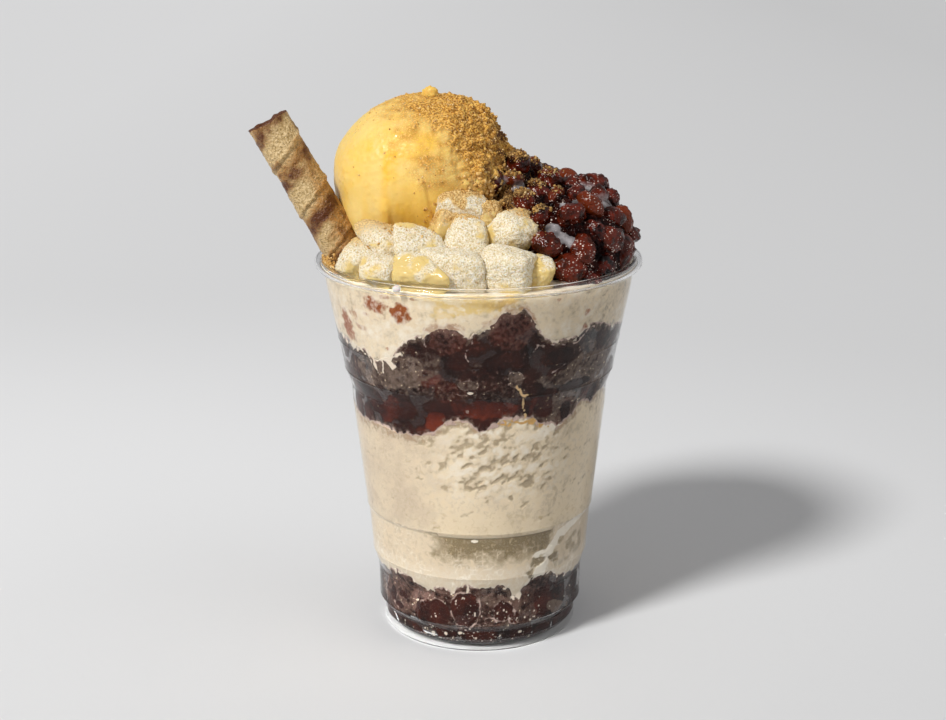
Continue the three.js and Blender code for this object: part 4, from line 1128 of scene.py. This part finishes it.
cake_grids = []
for number, (middle, half, turn, tilt, wetted) in enumerate(RICE_CAKES, 1):
    places = rice_cake(middle, half, turn, tilt, 76, 112, 200 + number)
    cake_grids.append(places)
    x, y, z = np.moveaxis(places, -1, 0)
    rise = (z - middle[2]) / half[2]
    soaked = wetted + 0.6 * cloud(x, y, z, 3.2, 86) + 0.2 * cloud(x, y, z, 1.1, 88)
    soaked += 0.35 * ease(rise, 0, -0.9) - 0.3 * ease(rise, 0.2, 1)
    soy_cover = 0.68 * ease(rise + 0.6 * cloud(x, y, z, 2.2, 87), 0.1, 0.9) * ease(y, -33, -21)
    cake, faces, keep = skin(places, tips=(True, True))
    piece(f"rice_cake_{number}_starched", cake, faces, starched, [f"rice_cake_{number}"],
          {"wet": np.clip(soaked, 0, 1).reshape(-1)[keep], "dust": soy_cover.reshape(-1)[keep]})

# ---------------------------------------------------------------- the heap of beans
# Whole sweet red beans piled over the right of the ice, in a core of crushed beans and syrup.
# They are glossy and sugared, milk lies in the hollows, and soy powder has settled at the left.

# middle, half sizes and turn in degrees of the heap's dome, and of the crest at its left
HEAP = dict(middle=np.array([19.5, 3, 111]), half=np.array([26.5, 37.5, 28]), turn=12)
CREST = dict(middle=np.array([9, 3, 128]), half=np.array([11, 15, 16.5]), turn=0)
# how far a dome is from an oval towards a box: 2 is an oval
DOME_POWER = 2.7
BEAN_LENGTH, BEAN_WIDTH, BEAN_SPACING = 9.6, 7.0, 6.4
# beans keep inside the wall up to WALL_TOP, within RIM_HOLDS of the axis up to RIM_PASSED, and
# within OVERHANG above that
WALL_TOP, RIM_PASSED, RIM_HOLDS, OVERHANG = 112.5, 117.2, 45.5, 49.0
# middle and half width, in mm, of the pools of milk poured over last
MILK_POOLS = np.array([
    [20.9, -29.3, 129.5, 2.4], [23.4, -30.4, 127.5, 2.2], [25.9, -31, 126, 1.9],
    [28.1, -19.8, 135.4, 2.2], [24.6, -22, 134.4, 1.8], [31.4, -18, 134.4, 2.0],
    [37.9, -11.8, 134.2, 4.2], [30.5, -3.8, 138, 3.4], [11.8, -9.3, 139.2, 2.4],
    [6.6, -8.8, 140.6, 2.6], [30, 18, 134, 4], [8, 16, 143, 3.4], [40, 14, 126, 3.4],
    [20, 30, 128, 4]])


def on_dome(dome, way):
    """Places on a dome in given directions: hypot(x, y)^2.7 + |z|^2.7 = 1 stretched to the
    dome's half sizes and turned about Z."""
    out = np.hypot(way[..., 0], way[..., 1]) ** DOME_POWER + np.abs(way[..., 2]) ** DOME_POWER
    made = way * out[..., None] ** (-1 / DOME_POWER) * dome["half"]
    c, s = np.cos(np.radians(dome["turn"])), np.sin(np.radians(dome["turn"]))
    return made @ np.array([[c, -s, 0], [s, c, 0], [0, 0, 1]]).T + dome["middle"]


def inside_dome(dome, places):
    """Whether places are inside a dome, by more than its outer 2% of hypot(x, y)^2.7 + |z|^2.7."""
    c, s = np.cos(np.radians(dome["turn"])), np.sin(np.radians(dome["turn"]))
    local = (places - dome["middle"]) @ np.array([[c, -s, 0], [s, c, 0], [0, 0, 1]]) / dome["half"]
    return (np.hypot(local[..., 0], local[..., 1]) ** DOME_POWER
            + np.abs(local[..., 2]) ** DOME_POWER < 0.98)


def off_rim(places, room):
    """Places drawn in towards the axis, so that they keep within the cup below its rim and
    within the rim's outside above it, with room to spare."""
    made = places.copy()
    far = np.hypot(made[..., 0], made[..., 1])
    within = inside_radius(np.minimum(made[..., 2], WALL_TOP)) - 0.5
    most = np.where(made[..., 2] < RIM_PASSED, np.minimum(within, RIM_HOLDS), OVERHANG) - room
    made[..., :2] *= np.minimum(1, most / np.maximum(far, 1))[..., None]
    return made


def in_milk(places, seed):
    """How deep places lie in the pools of milk: 1 in the middle of a pool, 0 outside, with
    its edge thrown in and out by up to half of its half width."""
    nearest = np.full(places.shape[:-1], 9.0)
    for pool in MILK_POOLS:
        nearest = np.minimum(nearest, np.linalg.norm(places - pool[:3], axis=-1) / pool[3])
    x, y, z = np.moveaxis(places, -1, 0)
    return ease(nearest + 0.5 * cloud(x, y, z, 2.4, seed), 1.25, 0.75)


core_parts, core_dust, core_milk = [], [], []
for dome, rows in ((HEAP, 112), (CREST, 56)):
    way = ball(rows * 2, rows * 3)[rows:]
    places = on_dome(dome, way)
    x, y, z = np.moveaxis(places, -1, 0)
    milk = in_milk(places, 91)
    crushed = 0.9 * cloud(x, y, z, 4, 92) + 1.5 * crumbs(x, y, z, 3.2, 93) - 1.7
    crushed = (crushed - 0.5) * (1 - milk) + (0.3 * cloud(x, y, z, 2, 94) - 0.5) * milk
    places = off_rim(places + way * crushed[..., None], 0)
    low = places[:1].mean(1, keepdims=True) + 0 * places[:1]
    core, faces, keep = skin(np.concatenate([low, places]), tips=(True, True))
    core_parts.append((core, faces))
    core_milk.append(np.concatenate([0 * milk[:1], milk]).reshape(-1)[keep])
    core_dust.append(ease(core[:, 0] + 5 * cloud(*core.T, 4, 95), 34, 4) * ease(core[:, 2], 118, 130))
core, core_faces = joined(core_parts)

# Boiled beans under syrup: near-black maroon skins, so wet that every wrinkle carries a glint, warm
# red-brown where the light shines through a skin, and sugar drying on them in grains, whose pale colour
# is also a painted glint.
sugared, tree, shader = finish("sugared_red_bean", IOR=1.33)
coords = add(tree, "TexCoord", {})
wrinkle = add(tree, "TexNoise", {"Vector": coords.outputs["Object"], "Scale": 640.0, "Detail": 2.4,
                                 "Distortion": 0.3})
mottle = add(tree, "TexNoise", {"Vector": coords.outputs["Object"], "Scale": 300.0, "Detail": 4.0})
grit = add(tree, "TexNoise", {"Vector": coords.outputs["Object"], "Scale": 1600.0, "Detail": 2.0})
warmth = add(tree, "Attribute", {}, attribute_name="tone")
creased = add(tree, "MapRange", {"Value": mottle.outputs[0], "From Min": 0.4, "From Max": 0.6})
skin_dark = add(tree, "Mix", {0: creased.outputs[0], 6: linear("#0A0000"), 7: linear("#5E1808")},
                data_type="RGBA").outputs[2]
colour = add(tree, "Mix", {0: warmth.outputs["Fac"], 6: skin_dark, 7: linear("#6E2A0C")},
             data_type="RGBA").outputs[2]
# sugar grains up to 0.5 mm wide, thickest in patches and each of its own brightness; their near-white
# colour is a painted glint as well as sugar
sugar = add(tree, "TexVoronoi", {"Vector": coords.outputs["Object"], "Scale": 1500.0})
sugar_patch = add(tree, "MapRange", {"Value": mottle.outputs[0], "From Min": 0.37, "From Max": 0.62,
                                     "To Min": -0.02, "To Max": 0.4})
glint = add(tree, "Math", {0: sugar.outputs["Distance"], 1: sugar_patch.outputs[0]},
            operation="LESS_THAN")
bright = add(tree, "MapRange", {"Value": sugar.outputs["Color"], "From Min": 0.45, "From Max": 0.85})
pale = add(tree, "Math", {0: glint.outputs[0], 1: bright.outputs[0]}, operation="MULTIPLY")
colour = add(tree, "Mix", {0: pale.outputs[0], 6: colour, 7: linear("#EEDCCE")},
             data_type="RGBA").outputs[2]
# milk over a bean: a thin film that breaks up along the mottling
milky = add(tree, "Attribute", {}, attribute_name="milk")
film = add(tree, "Mix", {0: mottle.outputs[0], 6: linear("#5C5350"), 7: linear("#C6C2C4")},
           data_type="RGBA").outputs[2]
thin = add(tree, "Math", {0: mottle.outputs[0], 1: 1.6, 2: milky.outputs["Fac"]},
           operation="MULTIPLY_ADD")
thin = add(tree, "MapRange", {"Value": thin.outputs[0], "From Min": 1.2, "From Max": 2.1,
                              "To Max": 0.95})
colour = add(tree, "Mix", {0: thin.outputs[0], 6: colour, 7: film}, data_type="RGBA").outputs[2]
soy = add(tree, "Attribute", {}, attribute_name="dust")
dusty = add(tree, "Math", {0: soy.outputs["Fac"], 1: grit.outputs[0]}, operation="ADD")
dusty = add(tree, "MapRange", {"Value": dusty.outputs[0], "From Min": 0.9, "From Max": 1.1})
tan = add(tree, "Mix", {0: wrinkle.outputs[0], 6: linear("#3A2210"), 7: linear("#A87C44")},
          data_type="RGBA").outputs[2]
colour = add(tree, "Mix", {0: dusty.outputs[0], 6: colour, 7: tan}, data_type="RGBA").outputs[2]
tree.links.new(colour, shader.inputs["Base Color"])
shine = add(tree, "MapRange", {"Value": dusty.outputs[0], "To Min": 0.08, "To Max": 0.6})
tree.links.new(shine.outputs[0], shader.inputs["Roughness"])
dry = add(tree, "MapRange", {"Value": milky.outputs["Fac"], "To Min": 1.0, "To Max": 0.15})
wrinkled = add(tree, "Math", {0: glint.outputs[0], 1: 0.3, 2: wrinkle.outputs[0]},
               operation="MULTIPLY_ADD")
wrinkled = add(tree, "Math", {0: grit.outputs[0], 1: 0.06, 2: wrinkled.outputs[0]},
               operation="MULTIPLY_ADD")
grain = add(tree, "Bump", {"Height": wrinkled.outputs[0], "Strength": dry.outputs[0],
                           "Distance": 0.0009})
tree.links.new(grain.outputs[0], shader.inputs["Normal"])
# The crushed beans between are a paste, so only their syrup shines, and far less. Their skin colour is
# darker, painted shade for the hollows between the beans.
crushed_beans = sugared.copy()
crushed_beans.name = "crushed_bean_paste"
crushed_beans.node_tree.nodes["Principled BSDF"].inputs["IOR"].default_value = 1.15
crushed_beans.node_tree.nodes[skin_dark.node.name].inputs[7].default_value = linear("#2C0C06")
piece("bean_heap_core", core, core_faces, crushed_beans, ["bean_heap"],
      {"tone": np.zeros(len(core)), "dust": 0.56 * np.concatenate(core_dust),
       "milk": np.concatenate(core_milk)})

# middle, size and warmth of the beans that lie on top, at the crest, the front and the rim
SHOWN_BEANS = np.array([
    [3.4, -8, 139.6, 1.02, 0.06], [11.9, -2.5, 144.4, 0.95, 0.05], [26.9, 4, 138.8, 0.8, 0.85],
    [34.5, -1, 137.2, 0.95, 0.15], [39, -4, 133.6, 0.75, 0.1], [28.6, -13, 136.6, 0.85, 0.05],
    [21.3, -3.9, 139.4, 0.85, 0.1], [26.2, -24.5, 132.6, 1.05, 0.12], [19.5, -30.2, 125.4, 1.05, 0.18],
    [29.4, -29.8, 123.8, 1.05, 0.22], [25.4, -32.4, 118.9, 1.1, 0.22], [38, -22.4, 125.3, 1.05, 0.2],
    [33.5, -25, 128.4, 0.7, 0.0], [42.8, -9, 128.4, 0.85, 0.75], [42, -16.4, 120.4, 1.1, 0.15],
    [39, -14, 130.2, 0.9, 0.1], [13, -18.1, 135.8, 0.95, 0.1], [35.9, -26.6, 118.6, 0.8, 0.0],
    [17.4, -23.6, 132.4, 0.8, 0.05], [45.0, -5, 122.6, 0.9, 0.2]])

# the rest are spread evenly over both domes along a spiral of 700 steps, wherever there is room
random = np.random.default_rng(96)
bean_middles = list(SHOWN_BEANS[:, :3])
bean_ways = []
for p in bean_middles:
    dome = CREST if p[0] < 12.5 else HEAP
    out = (p - dome["middle"]) / dome["half"] ** (DOME_POWER - 1)
    bean_ways.append(out / np.linalg.norm(out))
bean_sizes, bean_tones = list(SHOWN_BEANS[:, 3]), list(SHOWN_BEANS[:, 4])
for dome, other in ((CREST, HEAP), (HEAP, CREST)):
    for i in range(700):
        rise = 1 - 1.05 * (i + 0.5) / 700
        spin = i * np.pi * (3 - np.sqrt(5))
        flat = np.sqrt(1 - rise * rise)
        way = np.array([flat * np.cos(spin), flat * np.sin(spin), rise])
        place = on_dome(dome, way)
        if min(np.linalg.norm(place - near) for near in bean_middles) < BEAN_SPACING:
            continue
        to_scoop = (place - SCOOP_MIDDLE) / (SCOOP_HALF + 1.5)
        in_cake = min(np.linalg.norm((place - m) / (np.array(h) + 1.5)) for m, h, *_ in RICE_CAKES)
        if (inside_dome(other, place) or np.linalg.norm(to_scoop) < 1 or in_cake < 1
                or place[2] < mound_height(*place[:2]) + 0.5):
            continue
        bean_middles.append(place)
        bean_ways.append(way)
        bean_sizes.append(random.uniform(0.68, 1.08))
        bean_tones.append(0.6 * random.random() ** 3)


def copies(shape, faces, middles, ways, sizes, seed, tip=0.0):
    """Many copies of a small shape as one mesh. Each copy's +Z is set along its own way, tipped
    at random by up to `tip`, spun about that, scaled by its size and moved to its middle."""
    middles, ways = np.asarray(middles, float), np.asarray(ways, float)
    random = np.random.default_rng(seed)
    ways = ways + tip * random.uniform(-1, 1, ways.shape)
    ways /= np.linalg.norm(ways, axis=1, keepdims=True)
    across = np.cross(ways, random.normal(size=ways.shape))
    across /= np.linalg.norm(across, axis=1, keepdims=True)
    frames = np.stack([across, np.cross(ways, across), ways], 2)
    local = shape if shape.ndim == 3 else np.broadcast_to(shape, (len(middles), *shape.shape))
    made = np.einsum("nij,nvj->nvi", frames, local * np.reshape(sizes, (-1, 1, 1)))
    made = made + middles[:, None]
    shift = np.arange(len(middles))[:, None, None] * local.shape[1]
    return made, [(f[None] + shift).reshape(-1, f.shape[1]) for f in faces]


bean_middles, bean_ways = np.array(bean_middles), np.array(bean_ways)
count = len(bean_middles)
lozenge, faces, _ = skin(ball(17, 24), tips=(True, True))
plump = np.array([BEAN_LENGTH, BEAN_WIDTH, BEAN_WIDTH]) / 2
lozenges = lozenge[None] * plump * random.uniform(0.88, 1.1, (count, 1, 3))
px, py, pz = np.moveaxis(lozenges + random.uniform(-50, 50, (count, 1, 3)), -1, 0)
wrinkles = 0.6 * cloud(px, py, pz, 3.2, 97) + 0.8 * (crumbs(px, py, pz, 2.0, 98) - 0.5)
# the first and third bean shown are still whole, with nearly smooth skins
smooth = np.ones(count)
smooth[[0, 2]] = 0.15
lozenges = lozenges + lozenge * (wrinkles * smooth[:, None])[..., None]
# the beans that aren't listed have settled up to 2.2 mm further in
settled = random.uniform(0.0, 2.2, count) * (np.arange(count) >= len(SHOWN_BEANS))
sunk = off_rim(bean_middles - (0.7 + settled[:, None]) * bean_ways, 3.4)
bean_grids, faces = copies(lozenges, faces, sunk, bean_ways, bean_sizes, 101, tip=0.35)
up_facing = ease(bean_grids[..., 2] - sunk[:, None, 2], -0.5, 3)
x, y, z = np.moveaxis(bean_grids, -1, 0)
dusted = ease(x + 5 * cloud(x, y, z, 5, 102), 32, 8) * ease(z, 124, 133)
bean_dust = 0.6 * dusted * up_facing * (1 - 0.75 * (np.arange(count) == 0)[:, None])
bean_milk = in_milk(bean_grids, 103) * (0.9 - 0.8 * up_facing)
piece("sweet_red_beans", bean_grids.reshape(-1, 3), faces, sugared,
      fields={"tone": np.repeat(bean_tones, x.shape[1]), "dust": bean_dust.reshape(-1),
              "milk": bean_milk.reshape(-1)})

# ---------------------------------------------------------------- the soy powder
# Roasted soybean powder, shaken over the top and clumped by the damp into crumbs up to a
# millimetre wide. It lies on the ball, on the rice cakes and in a drift at the rim's left.

random = np.random.default_rng(111)
crumb, crumb_faces, _ = skin(ball(4, 5), tips=(True, True))


def sprinkle(grid, weight, count):
    """Picks places from a grid of places, each as likely as its weight."""
    chance = np.clip(weight, 0, None).ravel()
    chosen = random.choice(chance.size, count, replace=False, p=chance / chance.sum())
    return grid.reshape(-1, 3)[chosen]


x, y, z = np.moveaxis(scoop_grid, -1, 0)
# the ball's grid is denser towards its poles, so its places count for less there
spread = np.hypot(x - SCOOP_MIDDLE[0], y - SCOOP_MIDDLE[1]) / SCOOP_HALF[1]
at_foot = ease(z - 0.35 * x, 141, 134) * ease(z, 120, 125) * ease(x, -24, -10) * ease(y, 4, -6)
between = ease(np.abs(x - 4), 10, 3) * ease(y, 4, -4) * ease(z, 126, 132) * ease(z, 145, 139)
on_ball = [sprinkle(scoop_grid, ease(slant, 0.1, 1.0) ** 2 * spread * ease(z, 118, 124), 2400),
           sprinkle(scoop_grid, ease(slant, -0.5, 0.5) * spread * ease(z, 124, 134), 350),
           sprinkle(scoop_grid, at_foot * spread, 700)]
# the cakes near the ball get more than those at the front, and only on their tops
on_cakes = np.concatenate([
    sprinkle(grid, ease(grid[..., 2], m[2], m[2] + h[2]) * ease(grid[..., 1], -34, -20),
             90 if m[1] > -30 else 25)
    for grid, (m, h, *_) in zip(cake_grids, RICE_CAKES)])
on_beans = sprinkle(bean_grids, ease(bean_dust, 0.1, 0.6), 2000)
under_ball = sprinkle(scoop_grid, between, 420)
# the drift at the rim's left, within 46.5 mm of the axis; past the rim's inside it lies on top
drift = np.stack([random.normal(-44.6, 1.8, 420), random.normal(-12, 5, 420)], 1)
drift_z = 114.8 + np.abs(random.normal(0, 1.4, 420))
far = np.hypot(*drift.T)
drift *= (np.minimum(far, 46.5) / far)[:, None]
on_rim = np.hypot(*drift.T) > INSIDE_RIM
drift = np.column_stack([drift, np.maximum(drift_z, 116.4 * on_rim)])
# each lot of crumbs, with how damp it is and how coarse
lots = [(on_ball[0], 0, 0), (on_ball[1], 0, 0), (on_ball[2], 0, 0.4), (on_cakes, 0, 0),
        (on_beans, 1, 0.3), (under_ball, 0, 1), (drift, 0, 0.3)]
fall = np.concatenate([lot for lot, _, _ in lots])
damp = np.concatenate([np.full(len(lot), wet) for lot, wet, _ in lots])
coarse = np.concatenate([np.full(len(lot), big) for lot, _, big in lots])
shapes = crumb[None] * random.uniform(0.6, 1.4, (len(fall), len(crumb), 1))
sizes = 0.11 + (0.26 + 0.04 * damp + 0.46 * coarse) * random.random(len(fall)) ** 3 + 0.1 * coarse
spins = random.normal(size=fall.shape)
spins /= np.linalg.norm(spins, axis=1, keepdims=True)
made, faces = copies(shapes, crumb_faces, fall, spins, sizes, 112)
damp = np.clip(damp * (0.15 + 0.75 * random.random(len(fall))), 0, 1)

# Roasted soy powder: dry and matt, golden tan with a few browner grains, and darker where bean
# syrup has soaked into it.
roasted, tree, shader = finish("roasted_soy_powder", Roughness=0.9, IOR=1.4)
coords = add(tree, "TexCoord", {})
speckle = add(tree, "TexNoise", {"Vector": coords.outputs["Object"], "Scale": 700.0, "Detail": 2.0})
roast = add(tree, "ValToRGB", {"Fac": speckle.outputs[0]})
roast.color_ramp.elements[0].position = 0.3
roast.color_ramp.elements[0].color = linear("#A87834")
roast.color_ramp.elements[1].position = 0.7
roast.color_ramp.elements[1].color = linear("#F2D49C")
roast.color_ramp.elements.new(0.5).color = linear("#DAAC62")
soak = add(tree, "Attribute", {}, attribute_name="damp")
colour = add(tree, "Mix", {0: soak.outputs["Fac"], 6: roast.outputs[0], 7: linear("#44280F")},
             data_type="RGBA").outputs[2]
tree.links.new(colour, shader.inputs["Base Color"])
piece("soy_powder_crumbs", made.reshape(-1, 3), faces, roasted,
      fields={"damp": np.repeat(damp, len(crumb))})

# ---------------------------------------------------------------- the drop of milk
# One drop of the sweetened milk that was poured over last. It has caught on the rolled rim at the
# left of the front, on the outside of its bead.

DROP_MIDDLE, DROP_HALF = [-22.6, -43.0, 115.4], [1.3, 0.8, 1.0]

# Sweet milk: smooth and glossy, white to pale grey, and soft at its edges as light goes into it.
poured, tree, shader = finish("poured_sweet_milk", Roughness=0.12, IOR=1.35, Subsurface_Weight=0.5,
                              Subsurface_Scale=0.002)
coords = add(tree, "TexCoord", {})
thin = add(tree, "TexNoise", {"Vector": coords.outputs["Object"], "Scale": 300.0, "Detail": 2.0})
colour = add(tree, "Mix", {0: thin.outputs[0], 6: linear("#CFCBC6"), 7: linear("#EEEAE4")},
             data_type="RGBA").outputs[2]
tree.links.new(colour, shader.inputs["Base Color"])
drop, drop_faces, _ = skin(ball(16, 24) * DROP_HALF + DROP_MIDDLE, tips=(True, True))
piece("milk_drop_on_rim", drop, drop_faces, poured)

# ---------------------------------------------------------------- the table, light and camera
# A seamless sheet of pale paper under one lamp, far off at the front left, with a wide dim card
# at the right and soft light from all round. The camera stands half a metre off.

# where the camera stands in metres, its turns in degrees, and its lens in millimetres
CAMERA_PLACE = (0, -0.5, 0.2232)
PITCH_DOWN, YAW, ROLL = 15.67, -0.21, 0.25
LENS, FILM_WIDTH = 64.81, 36

# Matt coated paper without shine. Its colour is palest in a painted pool of lamplight at the front
# left, and darkens towards the right as painted shade.
paper, tree, shader = finish("matt_pale_paper", Roughness=0.9, IOR=1.3)
coords = add(tree, "TexCoord", {})
# the painted pool of lamplight round a place at the front left, its edge stirred by a faint noise, and
# past it painted shade that deepens towards +X
centred = add(tree, "Mapping", {"Vector": coords.outputs["Object"], "Location": (0.4, -0.143, 0.0),
                                "Scale": (1.43, 2.38, 1.0)})
away = add(tree, "VectorMath", {0: centred.outputs[0]}, operation="LENGTH")
fibre = add(tree, "TexNoise", {"Vector": coords.outputs["Object"], "Scale": 3.0, "Detail": 2.0})
away = add(tree, "Math", {0: fibre.outputs[0], 1: 0.05, 2: away.outputs["Value"]},
           operation="MULTIPLY_ADD")
painted_lamp_pool = add(tree, "MapRange", {"Value": away.outputs[0], "From Min": 1.0, "From Max": 0.0},
                interpolation_type="SMOOTHSTEP")
apart = add(tree, "SeparateXYZ", {"Vector": coords.outputs["Object"]})
painted_falloff = add(tree, "MapRange", {"Value": apart.outputs["X"], "From Min": -0.4, "From Max": 0.6})
paper_with_painted_falloff = add(tree, "Mix", {0: painted_falloff.outputs[0], 6: linear("#D8D8D8"), 7: linear("#C5C5C5")},
                data_type="RGBA").outputs[2]
colour = add(tree, "Mix", {0: painted_lamp_pool.outputs[0], 6: paper_with_painted_falloff, 7: linear("#E8E8E8")},
             data_type="RGBA").outputs[2]
tree.links.new(colour, shader.inputs["Base Color"])
sheet = bpy.data.meshes.new("paper_sheet")
sheet.from_pydata([(-30, -30, 0), (30, -30, 0), (30, 30, 0), (-30, 30, 0)], [], [(0, 1, 2, 3)])
sheet.materials.append(paper)
floor = bpy.data.objects.new("paper_sheet", sheet)
bpy.context.scene.collection.objects.link(floor)


def basis(right, up, back):
    """Euler angles of the turn whose columns are right, up and back, for a lamp or camera that
    looks along -back."""
    return Matrix((right, up, back)).transposed().to_euler()


# strength, width in radians, and degrees round from the front and up, of the key and the fill
for name, strength, width, turn, rise in [
        ("key_lamp", 2.85, 0.2, -44, 43), ("fill_card", 0.5, 1.0, 72, 30)]:
    lamp = bpy.data.lights.new(name, "SUN")
    lamp.angle = width
    lamp.energy = strength
    turn, rise = np.radians([turn, rise])
    back = np.array([np.sin(turn) * np.cos(rise), -np.cos(turn) * np.cos(rise), np.sin(rise)])
    right = np.cross([0, 0, 1], back)
    right /= np.linalg.norm(right)
    light = bpy.data.objects.new(name, lamp)
    light.location = back.tolist()
    light.rotation_euler = basis(right, np.cross(back, right), back)
    bpy.context.scene.collection.objects.link(light)

world = bpy.data.worlds.new("soft_surround")
world.use_nodes = True
world.node_tree.nodes["Background"].inputs["Color"].default_value = linear("#F4F4F6")
world.node_tree.nodes["Background"].inputs["Strength"].default_value = 0.34
bpy.context.scene.world = world
bpy.context.scene.view_settings.view_transform = "Standard"

pitch, yaw, roll = np.radians([PITCH_DOWN, YAW, ROLL])
across = np.array([np.cos(yaw), -np.sin(yaw), 0])
ahead = np.array([np.sin(yaw) * np.cos(pitch), np.cos(yaw) * np.cos(pitch), -np.sin(pitch)])
above = np.cross(across, ahead)
lens = bpy.data.cameras.new("camera")
lens.sensor_width = FILM_WIDTH
lens.lens = LENS
lens.clip_start = 0.01
view = bpy.data.objects.new("camera", lens)
view.location = CAMERA_PLACE
view.rotation_euler = basis(across * np.cos(roll) - above * np.sin(roll),
                            across * np.sin(roll) + above * np.cos(roll), -ahead)
bpy.context.scene.collection.objects.link(view)
bpy.context.scene.camera = view
